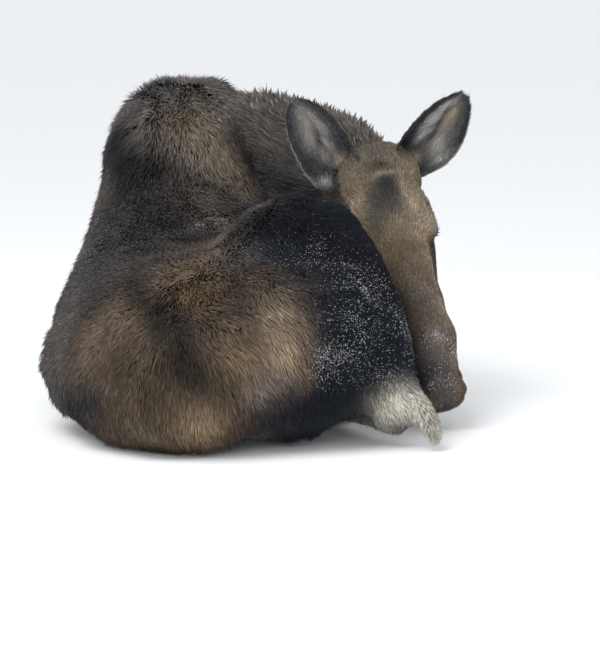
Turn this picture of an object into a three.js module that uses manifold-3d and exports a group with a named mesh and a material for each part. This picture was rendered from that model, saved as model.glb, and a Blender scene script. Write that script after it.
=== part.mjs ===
// A cow moose lying curled on level ground, as a still life-size museum model.
// Millimetres, +Z up, +Y from tail towards the withers, +X to the animal's right.
// The animal leans on its left haunch. Its neck turns back along its right side, and its muzzle
// hangs over the right hind foot. The outer surface is that of the winter coat.
import * as THREE from "three";
import { mergeVertices } from "three/addons/utils/BufferGeometryUtils.js";
import Module from "manifold-3d";

const wasm = await Module();
wasm.setup();

// ---------------------------------------------------------------- driving dimensions
const GAP = 0.4; // clear space between two touching pieces
const EAR_WALL = 9;
const EYE_RADIUS = 21;
const CLAW_LENGTH = 118;
const CLAW_HEIGHT = 66;
const CLAW_WIDTH = 44;
const DEWCLAW_LENGTH = 46;
const HIND_GIRTH = 32; // half-width of a hind cannon
const FORE_GIRTH = 30;
const RUMP_CUT_Y = 330; // where the rump ends and the barrel begins
const CHEST_CUT_Y = 960; // where the barrel ends and the chest begins

// Joints of the limbs, as places in the middle of the limb.
const STIFLE_RIGHT = [32, 560, 484];
const HOCK_RIGHT = [240, 266, 76];
const HEEL_RIGHT = [318, 196, 34]; // the point of the hock
const FETLOCK_RIGHT = [76, 572, 46];
const STIFLE_LEFT = [-490, 600, 150];
const HOCK_LEFT = [-160, 330, 62];
const FETLOCK_LEFT = [-84, 655, 46];
const ELBOW_RIGHT = [-50, 1085, 130];
const KNEE_RIGHT = [-75, 1460, 58];
const FORE_FETLOCK_RIGHT = [-8, 1165, 42];
const ELBOW_LEFT = [-520, 1085, 130];
const KNEE_LEFT = [-500, 1460, 58];
const FORE_FETLOCK_LEFT = [-585, 1175, 42];

// ---------------------------------------------------------------- materials
const coatPaint = (hex) => new THREE.MeshStandardMaterial({ color: hex, roughness: 0.9, metalness: 0 });
const COAT_DARK = coatPaint(0x2a241f);
const COAT_BROWN = coatPaint(0x5c4a35);
const COAT_FACE = coatPaint(0x6b5138);
const COAT_PALE = coatPaint(0xb5a98f);
const EAR_COAT = coatPaint(0x4b443a);
const HORN = new THREE.MeshStandardMaterial({ color: 0x2b2622, roughness: 0.55, metalness: 0 });
const EYE = new THREE.MeshStandardMaterial({ color: 0x140d08, roughness: 0.08, metalness: 0 });

// ---------------------------------------------------------------- shape tools
const vec = (p) => (p.isVector3 ? p : new THREE.Vector3(...p));
const radians = THREE.MathUtils.degToRad;
const UP = new THREE.Vector3(0, 0, 1);
const AHEAD = new THREE.Vector3(0, 1, 0);
const between = (a, b, t) => vec(a).clone().lerp(vec(b), t);
const shifted = (p, x, y, z) => vec(p).clone().add(new THREE.Vector3(x, y, z));

// A closed skin over rings of equal length, with a pole at each end.
function skinRings(rings) {
  const sides = rings[0].length;
  const middle = (ring) => ring.reduce((sum, p) => sum.add(p), new THREE.Vector3()).divideScalar(sides);
  const points = [middle(rings[0]), ...rings.flat(), middle(rings.at(-1))];
  const faces = [];
  const last = points.length - 1;
  for (let i = 0; i < sides; i += 1) {
    const next = (i + 1) % sides;
    faces.push(0, 1 + next, 1 + i);
    for (let r = 0; r < rings.length - 1; r += 1) {
      const low = 1 + r * sides;
      const high = low + sides;
      faces.push(low + i, low + next, high + next, low + i, high + next, high + i);
    }
    faces.push(last, last - sides + i, last - sides + next);
  }
  return new THREE.BufferGeometry().setFromPoints(points).setIndex(faces);
}

// One station of a loft: its middle, half-width, reach on the up side, reach on the down side,
// roll in degrees, and pinch, the share by which the up side is narrower than the down side.
const station = (at, width, up, down, roll = 0, pinch = 0) => ({ at, width, up, down, roll, pinch });

// A closed body lofted through stations. Its ends are domed in so many steps, or flat with none.
// A square under 1 gives its section fuller corners, and grow swells it all over.
function loft(stations, options = {}) {
  const { sides = 12, rings = 8, side = UP, grow = 0, dome = 0.6, steps = 2, square = 1 } = options;
  const through = (points) => new THREE.CatmullRomCurve3(points, false, "catmullrom", 0.5);
  const line = through(stations.map((s) => vec(s.at)));
  const sizes = through(stations.map((s) => new THREE.Vector3(s.width, s.up, s.down)));
  const turns = through(stations.map((s) => new THREE.Vector3(s.roll, s.pinch, 0)));
  const full = (x) => Math.sign(x) * Math.abs(x) ** square;
  const ring = (t, scale, ahead, push = 0) => {
    const tangent = line.getTangent(t);
    const up = side.clone().addScaledVector(tangent, -side.dot(tangent)).normalize();
    const size = sizes.getPoint(t);
    const turn = turns.getPoint(t);
    up.applyAxisAngle(tangent, radians(turn.x));
    const across = new THREE.Vector3().crossVectors(up, tangent);
    const bulge = Math.min(size.x, size.y) * dome + grow;
    const centre = line.getPoint(t).addScaledVector(tangent, ahead * bulge + push);
    return Array.from({ length: sides }, (_, i) => {
      const angle = (i / sides) * 2 * Math.PI;
      const lift = full(Math.sin(angle));
      const reach = (lift > 0 ? size.y : size.z) + grow;
      const wide = (size.x + grow) * (1 - turn.y * lift);
      return centre
        .clone()
        .addScaledVector(across, scale * wide * full(Math.cos(angle)))
        .addScaledVector(up, scale * reach * lift);
    });
  };
  const domeSteps = Array.from({ length: steps }, (_, i) => radians(68 * (1 - i / steps)));
  const between = Array.from({ length: rings - 1 }, (_, i) => (i + 1) / rings);
  return skinRings([
    ...domeSteps.map((a) => ring(0, Math.cos(a), -Math.sin(a))),
    ring(0, 1, 0, -grow),
    ...between.map((t) => ring(t, 1, 0)),
    ring(1, 1, 0, grow),
    ...domeSteps.toReversed().map((a) => ring(1, Math.cos(a), Math.sin(a))),
  ]);
}

// A ball, closed at its seam while it is still centred on the origin.
function ball(middle, radius) {
  const round = new THREE.SphereGeometry(radius, 10, 7);
  round.deleteAttribute("normal");
  round.deleteAttribute("uv");
  return mergeVertices(round, 1e-3).translate(middle.x, middle.y, middle.z);
}

// A geometry as a solid, whichever way round its faces were listed.
function solid(geometry) {
  const bare = geometry.clone();
  bare.deleteAttribute("normal");
  bare.deleteAttribute("uv");
  const merged = mergeVertices(bare, 1e-4);
  const triVerts = new Uint32Array(merged.index.array);
  const vertProperties = merged.attributes.position.array;
  const made = new wasm.Manifold(new wasm.Mesh({ numProp: 3, vertProperties, triVerts }));
  if (made.volume() > 0) return made;
  for (let i = 0; i < triVerts.length; i += 3) {
    [triVerts[i + 1], triVerts[i + 2]] = [triVerts[i + 2], triVerts[i + 1]];
  }
  return new wasm.Manifold(new wasm.Mesh({ numProp: 3, vertProperties, triVerts }));
}

const join = (solids) => solids.reduce((sum, next) => sum.add(next));
const cut = (body, tools) => tools.reduce((rest, tool) => rest.subtract(tool), body);
const block = (low, high) => {
  const size = vec(high).clone().sub(vec(low));
  const centre = vec(low).clone().addScaledVector(size, 0.5);
  return solid(new THREE.BoxGeometry(size.x, size.y, size.z).translate(centre.x, centre.y, centre.z));
};

// The largest connected piece, so that a cut leaves no crumbs.
const largest = (body) => body.decompose().reduce((a, b) => (a.volume() > b.volume() ? a : b));

// ---------------------------------------------------------------- body
const TRUNK = [
  station([-222, 120, 190], 225, 172, 190, -24),
  station([-245, 225, 208], 300, 218, 208, -24),
  station([-265, 370, 216], 335, 236, 216, -20),
  station([-284, 550, 222], 346, 240, 222, -15),
  station([-295, 740, 234], 336, 246, 234, -8),
  station([-300, 900, 262], 305, 280, 262, -3),
  station([-308, 1060, 292], 268, 330, 292),
  station([-308, 1210, 316], 235, 350, 316),
  station([-285, 1340, 332], 185, 300, 285),
];
const HUMP = [
  station([-335, 940, 400], 105, 90, 90),
  station([-345, 1060, 478], 168, 198, 140),
  station([-334, 1190, 535], 196, 276, 190, 3, -0.02),
  station([-298, 1305, 550], 203, 286, 200, 3, -0.02),
  station([-262, 1385, 530], 160, 240, 180, 3),
];
const NECK = [
  station([-265, 1240, 500], 190, 272, 300),
  station([-160, 1290, 540], 186, 254, 272),
  station([-30, 1225, 552], 162, 214, 226),
  station([78, 1095, 554], 140, 188, 190),
  station([144, 985, 548], 122, 162, 158),
  station([176, 915, 540], 106, 126, 136),
];
const SHOULDER_RIGHT = [
  station([-270, 1230, 700], 70, 90, 90),
  station([-212, 1225, 640], 98, 125, 130),
  station([-150, 1205, 520], 112, 145, 165),
  station([-105, 1180, 370], 108, 130, 165),
  station([-75, 1140, 240], 92, 100, 120),
  station(ELBOW_RIGHT, 66, 70, 72),
];
const SHOULDER_LEFT = [
  station([-400, 1215, 690], 60, 80, 80),
  station([-418, 1215, 630], 88, 118, 120),
  station([-432, 1200, 520], 98, 140, 155),
  station([-472, 1170, 370], 104, 130, 165),
  station([-508, 1135, 240], 92, 100, 120),
  station(ELBOW_LEFT, 66, 70, 72),
];
const TAIL = [
  station([-288, 92, 330], 36, 34, 40),
  station([-262, 34, 276], 36, 26, 34),
  station([-236, 4, 216], 28, 18, 26),
  station([-222, -4, 176], 13, 9, 12),
];

// ---------------------------------------------------------------- head
// The face is a straight line from the poll to the nose. Along it a place is given by its share
// of that line, the height towards the bridge of the nose, and the way to the animal's left.
const POLL = vec([186, 878, 650]);
const NOSE = vec([362, 486, 50]);
const FACE_LINE = NOSE.clone().sub(POLL);
const MUZZLE_WAY = FACE_LINE.clone().normalize();
const BROW_WAY = new THREE.Vector3(0, -0.99, 0.14);
BROW_WAY.addScaledVector(MUZZLE_WAY, -BROW_WAY.dot(MUZZLE_WAY)).normalize();
const LEFT_WAY = new THREE.Vector3().crossVectors(BROW_WAY, MUZZLE_WAY);
const onHead = (along, brow, left) =>
  POLL.clone()
    .addScaledVector(FACE_LINE, along)
    .addScaledVector(BROW_WAY, brow)
    .addScaledVector(LEFT_WAY, left);

const HEAD = [
  station(onHead(0.022, 0, 0), 78, 54, 92),
  station(onHead(0.08, 0, 0), 98, 70, 124, 0, 0.05),
  station(onHead(0.2, 0, -3), 93, 80, 140, 0, 0.08),
  station(onHead(0.3, 0, 0), 102, 66, 140, 0, 0.1),
  station(onHead(0.42, 0, 0), 85, 62, 118, 0, 0.16),
  station(onHead(0.53, 0, 0), 71, 66, 92, 0, 0.1),
  station(onHead(0.64, 0, 0), 70, 74, 76, 0, 0.04),
  station(onHead(0.74, 0, -3), 73, 84, 76),
  station(onHead(0.84, 0, -7), 67, 86, 80),
  station(onHead(0.93, 0, -6), 62, 72, 82),
];
const JAW = [
  station(onHead(0.2, -112, 0), 62, 60, 62),
  station(onHead(0.3, -120, 0), 66, 62, 68),
  station(onHead(0.42, -104, 0), 58, 55, 52),
  station(onHead(0.56, -84, 0), 50, 48, 42),
  station(onHead(0.72, -80, -3), 46, 42, 38),
  station(onHead(0.84, -84, -5), 44, 38, 36),
];
const brow = (way) => [
  station(onHead(0.2, 18, way * 68), 30, 28, 36),
  station(onHead(0.28, 14, way * 84), 32, 30, 42),
  station(onHead(0.37, 2, way * 74), 26, 24, 32),
];
const eyePlace = (way) => onHead(0.33, -14, way * 81);
const throat = onHead(0.3, -190, 0);
const BELL = [
  station(shifted(throat, 0, 0, 40), 46, 42, 42),
  station(shifted(throat, 4, 6, -30), 32, 28, 28),
  station(shifted(throat, 6, 6, -95), 21, 18, 18),
  station(shifted(throat, 6, 2, -150), 11, 10, 10),
];

// The outlines of the ears: a share of the length, then the reach from the midline to the side
// of the other ear and to the outer side.
const OUTLINE_RIGHT = [
  [0, 54, 50],
  [0.1, 66, 64],
  [0.24, 71, 70],
  [0.4, 72, 71],
  [0.55, 69, 69],
  [0.69, 61, 63],
  [0.81, 48, 52],
  [0.91, 31, 37],
  [0.98, 12, 16],
];
const OUTLINE_LEFT = [
  [0, 52, 34],
  [0.1, 66, 47],
  [0.24, 69, 62],
  [0.4, 68, 69],
  [0.55, 62, 68],
  [0.69, 52, 60],
  [0.81, 38, 48],
  [0.91, 24, 34],
  [0.98, 9, 14],
];
// An ear is a leaf rolled round its own length: deeply at its root, and open at its tip.
function ear(root, tip, faces, outline, outward, grow = 0) {
  const length = vec(tip).clone().sub(vec(root));
  const along = length.clone().normalize();
  const facing = faces.clone().addScaledVector(along, -faces.dot(along)).normalize();
  const across = new THREE.Vector3().crossVectors(along, facing);
  const ARC_STEPS = 5;
  const wall = EAR_WALL / 2 + grow;
  const rings = outline.map(([t, inner, outer]) => {
    const half = (inner + outer) / 2;
    const lean = (outward * (outer - inner)) / 2;
    const roll = radians(THREE.MathUtils.lerp(116, 56, Math.min(1, t * 1.5)));
    const radius = half / Math.sin(Math.min(roll, Math.PI / 2));
    const bow = 24 * Math.sin(Math.PI * t);
    const middle = vec(root).clone().addScaledVector(length, t).addScaledVector(facing, bow);
    const place = (angle, reach) =>
      middle
        .clone()
        .addScaledVector(across, reach * Math.sin(angle) + lean)
        .addScaledVector(facing, (radius - reach * Math.cos(angle)) * 0.85 - radius * 0.35);
    const arc = Array.from({ length: ARC_STEPS + 1 }, (_, k) => roll * ((2 * k) / ARC_STEPS - 1));
    return [
      ...arc.map((a) => place(a, radius + wall)),
      ...arc.toReversed().map((a) => place(a, radius - wall)),
    ];
  });
  return skinRings(rings);
}
// The ear on the animal's right is the one nearer its flank.
const EAR_RIGHT = [
  onHead(0.085, -14, -91),
  [-16, 925, 786],
  new THREE.Vector3(-0.05, -1, 0.05),
  OUTLINE_RIGHT,
  -1,
];
const EAR_LEFT = [
  onHead(0.088, -14, 72),
  [422, 905, 804],
  new THREE.Vector3(0.15, -1, 0.05),
  OUTLINE_LEFT,
  1,
];

// ---------------------------------------------------------------- limbs
// The right thigh stands up beside the flank, and its hamstrings spread from the seat to the shank.
const THIGH_RIGHT = [
  [
    station([-190, 260, 270], 140, 150, 150),
    station([-110, 370, 330], 165, 182, 190),
    station([-35, 480, 415], 142, 176, 190),
    station([8, 555, 462], 112, 146, 150),
  ],
  [
    station([-190, 200, 220], 140, 175, 200),
    station([-60, 240, 245], 165, 205, 240),
    station([70, 292, 250], 165, 196, 242),
    station([165, 312, 196], 112, 138, 168),
  ],
  [
    station([-40, 360, 320], 130, 150, 140),
    station([60, 400, 330], 130, 150, 150),
    station([130, 385, 270], 98, 118, 130),
  ],
];
const SHANK_RIGHT = [
  station(shifted(STIFLE_RIGHT, 8, -6, 0), 112, 95, 120),
  station(between(STIFLE_RIGHT, HOCK_RIGHT, 0.3), 132, 100, 135),
  station(between(STIFLE_RIGHT, HOCK_RIGHT, 0.6), 114, 88, 118),
  station(between(STIFLE_RIGHT, HOCK_RIGHT, 0.82), 84, 68, 86),
  station(HOCK_RIGHT, 68, 58, 66),
];
const THIGH_LEFT = [
  station([-350, 230, 150], 70, 80, 100),
  station([-418, 310, 152], 104, 112, 140),
  station([-478, 410, 164], 136, 136, 158),
  station([-510, 520, 172], 136, 138, 150),
  station([-502, 615, 160], 108, 104, 120),
];
// The tendon that ends in the point of the hock.
const HEEL_TENDON = [
  station(between(STIFLE_RIGHT, HOCK_RIGHT, 0.82), 60, 40, 50),
  station(between(HOCK_RIGHT, HEEL_RIGHT, 0.42).add(new THREE.Vector3(16, 0, 34)), 34, 34, 38),
  station(HEEL_RIGHT, 23, 25, 28),
];
const SHANK_LEFT = [
  station(shifted(STIFLE_LEFT, 30, -20, -70), 80, 70, 80),
  station(shifted(between(STIFLE_LEFT, HOCK_LEFT, 0.5), 0, 0, -34), 70, 62, 80),
  station(HOCK_LEFT, 52, 52, 66),
];
const cannon = (from, to, girth) => [
  station(from, girth * 1.3, girth * 1.35, girth * 1.4),
  station(between(from, to, 0.3), girth, girth * 1.05, girth * 1.05),
  station(between(from, to, 0.75), girth * 0.95, girth, girth),
  station(to, girth * 1.15, girth * 1.2, girth * 1.25),
];
const forearm = (from, to) => [
  station(from, 66, 70, 72),
  station(between(from, to, 0.35), 58, 62, 64),
  station(between(from, to, 0.8), 44, 48, 50),
  station(to, 46, 52, 58),
];

// ---------------------------------------------------------------- feet
// A foot points along heading, a level direction. It holds a pastern, two claws and two dewclaws.
function foot(name, fetlock, heading, girth) {
  const ahead = new THREE.Vector3(heading[0], heading[1], 0).normalize();
  const aside = new THREE.Vector3().crossVectors(ahead, UP);
  const at = (forward, out, height) =>
    vec(fetlock).clone().addScaledVector(ahead, forward).addScaledVector(aside, out).setZ(height);
  const pastern = (grow) =>
    loft(
      [
        station(at(-8, 0, vec(fetlock).z), girth * 1.15, girth * 1.1, girth * 1.1),
        station(at(40, 0, 40), girth * 1.1, girth * 0.95, girth * 0.95),
        station(at(72, 0, 36), girth * 1.2, girth * 0.85, girth),
      ],
      { sides: 8, rings: 2, grow, steps: 1 },
    );
  const [long, wide, high] = [CLAW_LENGTH, CLAW_WIDTH, CLAW_HEIGHT];
  const claw = (way) => (grow) =>
    loft(
      [
        station(at(70, way * 25, 36), wide * 0.5, high * 0.5, 38),
        station(at(70 + long * 0.4, way * 27, 29), wide * 0.5, high * 0.42, 32, 0, 0.15),
        station(at(70 + long * 0.75, way * 23, 19), wide * 0.36, high * 0.27, 22, 0, 0.2),
        station(at(70 + long, way * 17, 10), wide * 0.16, high * 0.1, 12),
      ],
      { sides: 7, rings: 2, dome: 0.4, steps: 1, grow },
    );
  const dewclaw = (way) => (grow) =>
    loft(
      [
        station(at(0, way * 27, 30), 13, 15, 16),
        station(at(DEWCLAW_LENGTH * 0.2, way * 36, 15), 12, 13, 14),
        station(at(DEWCLAW_LENGTH * 0.8, way * 42, 6), 6, 7, 9),
      ],
      { sides: 5, rings: 1, side: AHEAD, steps: 1, grow },
    );
  return {
    flesh: [[`${name}_pastern`, pastern, COAT_PALE]],
    horn: [
      [`${name}_claw_outer`, claw(1)],
      [`${name}_claw_inner`, claw(-1)],
      [`${name}_dewclaw_outer`, dewclaw(1)],
      [`${name}_dewclaw_inner`, dewclaw(-1)],
    ],
  };
}

const FEET = [
  foot("hind_right", FETLOCK_RIGHT, [0.15, 1], HIND_GIRTH),
  foot("hind_left", FETLOCK_LEFT, [0.25, 1], HIND_GIRTH),
  foot("fore_right", FORE_FETLOCK_RIGHT, [0.12, -1], FORE_GIRTH),
  foot("fore_left", FORE_FETLOCK_LEFT, [-0.12, -1], FORE_GIRTH),
];

// ---------------------------------------------------------------- pieces of flesh
// Each row is a name, a function that gives its lofts at a growth, and a material. A piece is
// cut back by every piece above it, so the order says which of two neighbours keeps the space.
const plain = (stations, options) => (grow) => [loft(stations, { ...options, grow })];
const THIN = { sides: 8, rings: 3, steps: 1 };
const OPEN_ENDED = { ...THIN, steps: 0 }; // both ends lie inside its neighbours
const shin = (...ends) => plain(cannon(...ends), OPEN_ENDED);
const FLESH = [
  ["hind_cannon_right", shin(shifted(HOCK_RIGHT, -10, 20, -14), FETLOCK_RIGHT, HIND_GIRTH), COAT_PALE],
  ["hind_cannon_left", shin(HOCK_LEFT, FETLOCK_LEFT, HIND_GIRTH), COAT_PALE],
  ["fore_cannon_right", shin(KNEE_RIGHT, FORE_FETLOCK_RIGHT, FORE_GIRTH), COAT_PALE],
  ["fore_cannon_left", shin(KNEE_LEFT, FORE_FETLOCK_LEFT, FORE_GIRTH), COAT_PALE],
  ["forearm_right", plain(forearm(ELBOW_RIGHT, KNEE_RIGHT), THIN), COAT_DARK],
  ["forearm_left", plain(forearm(ELBOW_LEFT, KNEE_LEFT), THIN), COAT_DARK],
  ["tail", plain(TAIL, { sides: 6, rings: 3, steps: 1 }), COAT_BROWN],
  [
    "shank_right",
    (grow) => [
      loft(SHANK_RIGHT, { sides: 10, rings: 5, side: AHEAD, grow }),
      loft(HEEL_TENDON, { sides: 7, rings: 3, steps: 1, side: AHEAD, grow }),
    ],
    COAT_DARK,
  ],
  ["thigh_right", (grow) => THIGH_RIGHT.map((s) => loft(s, { sides: 11, rings: 3, grow })), COAT_BROWN],
  ["thigh_left", plain(THIGH_LEFT, { sides: 10, rings: 4 }), COAT_BROWN],
  ["shank_left", plain(SHANK_LEFT, { sides: 6, rings: 2, steps: 1 }), COAT_DARK],
  ["trunk", plain(TRUNK, { sides: 16, rings: 8 }), COAT_DARK],
  ["hump", plain(HUMP, { sides: 14, rings: 5, square: 0.84 }), COAT_DARK],
  ["shoulder_right", plain(SHOULDER_RIGHT, { sides: 10, rings: 5, side: AHEAD }), COAT_BROWN],
  ["shoulder_left", plain(SHOULDER_LEFT, { sides: 10, rings: 5, side: AHEAD }), COAT_BROWN],
  ["neck", plain(NECK, { sides: 12, rings: 6 }), COAT_BROWN],
];
const HEAD_PIECES = [
  [
    "head",
    (grow) => [
      loft(HEAD, { sides: 12, rings: 9, side: BROW_WAY, grow, dome: 0.75 }),
      ...[1, -1].map((way) => loft(brow(way), { sides: 6, rings: 2, side: BROW_WAY, grow, steps: 1 })),
    ],
    COAT_FACE,
  ],
  ["lower_jaw", plain(JAW, { sides: 8, rings: 4, side: BROW_WAY, steps: 1 }), COAT_FACE],
  ["bell", plain(BELL, { sides: 6, rings: 3, side: AHEAD, steps: 1 }), COAT_BROWN],
  ["ear_right", (grow) => [ear(...EAR_RIGHT, grow)], EAR_COAT],
  ["ear_left", (grow) => [ear(...EAR_LEFT, grow)], EAR_COAT],
];

// ---------------------------------------------------------------- assembly
const FAR = 4000;
const SPANS = [
  ["rump", -FAR, RUMP_CUT_Y],
  ["barrel", RUMP_CUT_Y, CHEST_CUT_Y],
  ["chest", CHEST_CUT_Y, FAR],
];
const ABOVE_GROUND = block([-FAR, -FAR, 0], [FAR, FAR, FAR]);
const group = new THREE.Group();

function addMesh(name, body, material) {
  const mesh = body.getMesh();
  const geometry = new THREE.BufferGeometry();
  geometry.setAttribute("position", new THREE.BufferAttribute(mesh.vertProperties, 3));
  geometry.setIndex(new THREE.BufferAttribute(mesh.triVerts, 1));
  geometry.computeVertexNormals();
  const part = new THREE.Mesh(geometry, material);
  part.name = name;
  group.add(part);
}

const tools = []; // every piece so far, swollen by the gap
function place(name, shapes, material) {
  const whole = join(shapes(0).map(solid)).intersect(ABOVE_GROUND);
  const body = largest(cut(whole, tools));
  tools.push(join(shapes(GAP).map(solid)));
  if (name !== "trunk") {
    addMesh(name, body, material);
    return;
  }
  for (const [part, from, to] of SPANS) {
    addMesh(part, largest(body.intersect(block([-FAR, from + GAP, -FAR], [FAR, to, FAR]))), material);
  }
}

for (const { horn } of FEET) for (const [name, shape] of horn) place(name, (g) => [shape(g)], HORN);
for (const way of [1, -1]) {
  const middle = eyePlace(way);
  place(way > 0 ? "eye_left" : "eye_right", (grow) => [ball(middle, EYE_RADIUS + grow)], EYE);
}
for (const { flesh } of FEET) {
  for (const [name, shape, coat] of flesh) place(name, (g) => [shape(g)], coat);
}
for (const [name, shapes, coat] of FLESH) place(name, shapes, coat);
for (const [name, shapes, coat] of HEAD_PIECES) place(name, shapes, coat);

// The origin is the middle of the bounding box's base.
const box = new THREE.Box3().setFromObject(group);
const centre = box.getCenter(new THREE.Vector3());
group.position.set(-centre.x, -centre.y, -box.min.z);

export default group;
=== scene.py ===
"""A cow moose lying curled up, with her head turned back beside her haunch, in a thick winter coat.

One skin covers all the flesh. It lies inside the solids of the frame by the depth of the coat, and the coat
itself is solid mesh: thin tufts that follow the lie of the hair. Lengths are in metres, apart from the tables
of places and hair and what is given to spot(), on_head() and swell(), which are in millimetres.
"""

import math

import bpy
import numpy as np
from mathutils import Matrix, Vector
from mathutils.bvhtree import BVHTree


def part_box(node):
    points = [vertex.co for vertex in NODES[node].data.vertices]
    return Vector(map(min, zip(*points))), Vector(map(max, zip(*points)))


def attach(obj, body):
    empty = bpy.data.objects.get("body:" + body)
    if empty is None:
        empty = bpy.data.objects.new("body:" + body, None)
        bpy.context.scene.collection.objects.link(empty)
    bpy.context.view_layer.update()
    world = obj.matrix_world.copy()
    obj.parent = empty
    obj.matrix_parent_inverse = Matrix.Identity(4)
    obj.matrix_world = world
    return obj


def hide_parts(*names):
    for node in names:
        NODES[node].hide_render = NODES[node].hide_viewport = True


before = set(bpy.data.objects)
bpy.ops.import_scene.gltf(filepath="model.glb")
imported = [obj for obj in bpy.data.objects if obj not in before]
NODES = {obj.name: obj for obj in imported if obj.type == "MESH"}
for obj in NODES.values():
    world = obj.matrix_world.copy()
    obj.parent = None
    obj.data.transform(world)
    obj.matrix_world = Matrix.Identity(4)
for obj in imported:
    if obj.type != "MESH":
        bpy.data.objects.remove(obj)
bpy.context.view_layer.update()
MM = 0.001
rng = np.random.default_rng(1908)

# ---------------------------------------------------------------- places
RUMP_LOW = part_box("rump")[0]
RUMP_CORNER = (-583.6, 9.4, 0.0)  # that corner in this script's millimetres


def spot(x, y, z):
    """A place in millimetres, +X to the animal's right, +Y towards her withers and +Z up, as a point."""
    x, y = x - RUMP_CORNER[0], y - RUMP_CORNER[1]
    return Vector((RUMP_LOW.x + x * MM, RUMP_LOW.y + y * MM, z * MM))


def middle(node):
    low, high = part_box(node)
    return (low + high) / 2


# The face is a straight line from the poll to the nose. A place on it is its share of that line, the height
# towards the bridge of the nose and the way to the animal's left.
POLL = spot(186, 878, 650)
FACE = spot(362, 486, 50) - POLL
MUZZLE_WAY = FACE.normalized()
BROW_WAY = Vector((0, -0.99, 0.14))
BROW_WAY = (BROW_WAY - MUZZLE_WAY * BROW_WAY.dot(MUZZLE_WAY)).normalized()
LEFT_WAY = BROW_WAY.cross(MUZZLE_WAY)
HEAD_WAYS = np.array([MUZZLE_WAY, BROW_WAY, LEFT_WAY])
SIDES = (1, -1)  # left, right


def on_head(along, brow, left):
    return POLL + FACE * along + BROW_WAY * (brow * MM) + LEFT_WAY * (left * MM)


def head_place(points):
    """For each point: its share of the face line, its height towards the bridge, and its way to the left."""
    away = points - np.array(POLL)
    along, brow, left = (away @ way for way in HEAD_WAYS)
    return along / FACE.length, brow, left


def nearness(points, place, reach):
    """1 at a place of spot(), less towards and past a reach to each side, for each point."""
    gap = (points - np.array(spot(*place))) / (np.array(reach) * MM)
    return np.exp(-(gap ** 2).sum(1))


def nearness_on_head(points, place, reach):
    """The same for a place of on_head(), its reach along the face, towards the bridge and to the left."""
    gap = (points - np.array(on_head(*place))) @ HEAD_WAYS.T / (np.array(reach) * MM)
    return np.exp(-(gap ** 2).sum(1))


EAR_ENDS = {  # root, tip and the way that the opening faces
    "ear_right": (on_head(0.085, -14, -91), spot(-16, 925, 786), Vector((-0.05, -1, 0.05))),
    "ear_left": (on_head(0.088, -14, 72), spot(422, 905, 804), Vector((0.15, -1, 0.05))),
}
# An ear's outline: a share of its length, and how far its inner and outer edges lie from its line there.
EAR_OUTLINE = {
    "ear_right": ((0, 54, 50), (0.1, 66, 64), (0.24, 71, 70), (0.4, 72, 71), (0.55, 69, 69), (0.69, 61, 63),
                  (0.81, 48, 52), (0.91, 31, 37), (0.98, 12, 16)),
    "ear_left": ((0, 52, 34), (0.1, 66, 47), (0.24, 69, 62), (0.4, 68, 69), (0.55, 62, 68), (0.69, 52, 60),
                 (0.81, 38, 48), (0.91, 24, 34), (0.98, 9, 14)),
}
EYE_RADIUS = 0.021

FLESH = sorted(n for n in NODES if "claw" not in n and not n.startswith("eye"))
BODY_FLESH = [n for n in FLESH if not n.startswith("ear")]
FEET = ("hind_right", "hind_left", "fore_right", "fore_left")


def on_face(parts):
    """Which of some places, each given by its part's index in FLESH, are on the face."""
    return np.isin(parts, [FLESH.index("head"), FLESH.index("lower_jaw")])


# ---------------------------------------------------------------- the coat's tables
# For each part: the coat's depth, the length and width of a tuft, and the space between tufts (millimetres).
LEG_COAT = (5, 15, 1.9, 3.9)
COAT = {
    "hump": (25, 50, 3.0, 4.1),
    "neck": (23, 48, 3.0, 4.1),
    "barrel": (21, 44, 3.0, 4.1),
    "rump": (19, 42, 2.8, 3.7),
    "chest": (24, 50, 3.6, 6.0),
    "shoulder_right": (22, 44, 3.0, 4.1),
    "shoulder_left": (22, 46, 3.2, 4.6),
    "thigh_right": (16, 36, 2.6, 3.6),
    "thigh_left": (18, 40, 3.0, 4.6),
    "shank_right": (9, 24, 2.2, 3.3),
    "shank_left": (8, 22, 2.4, 4.6),
    "tail": (10, 32, 2.6, 3.4),
    "bell": (9, 42, 2.6, 3.2),
    "head": (4.5, 10, 1.1, 2.4),
    "lower_jaw": (4.5, 12, 1.5, 3.2),
    "ear_right": (3, 11, 1.3, 2.9),
    "ear_left": (3, 11, 1.3, 2.9),
}


def coat_of(node):
    return COAT.get(node, LEG_COAT)


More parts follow.
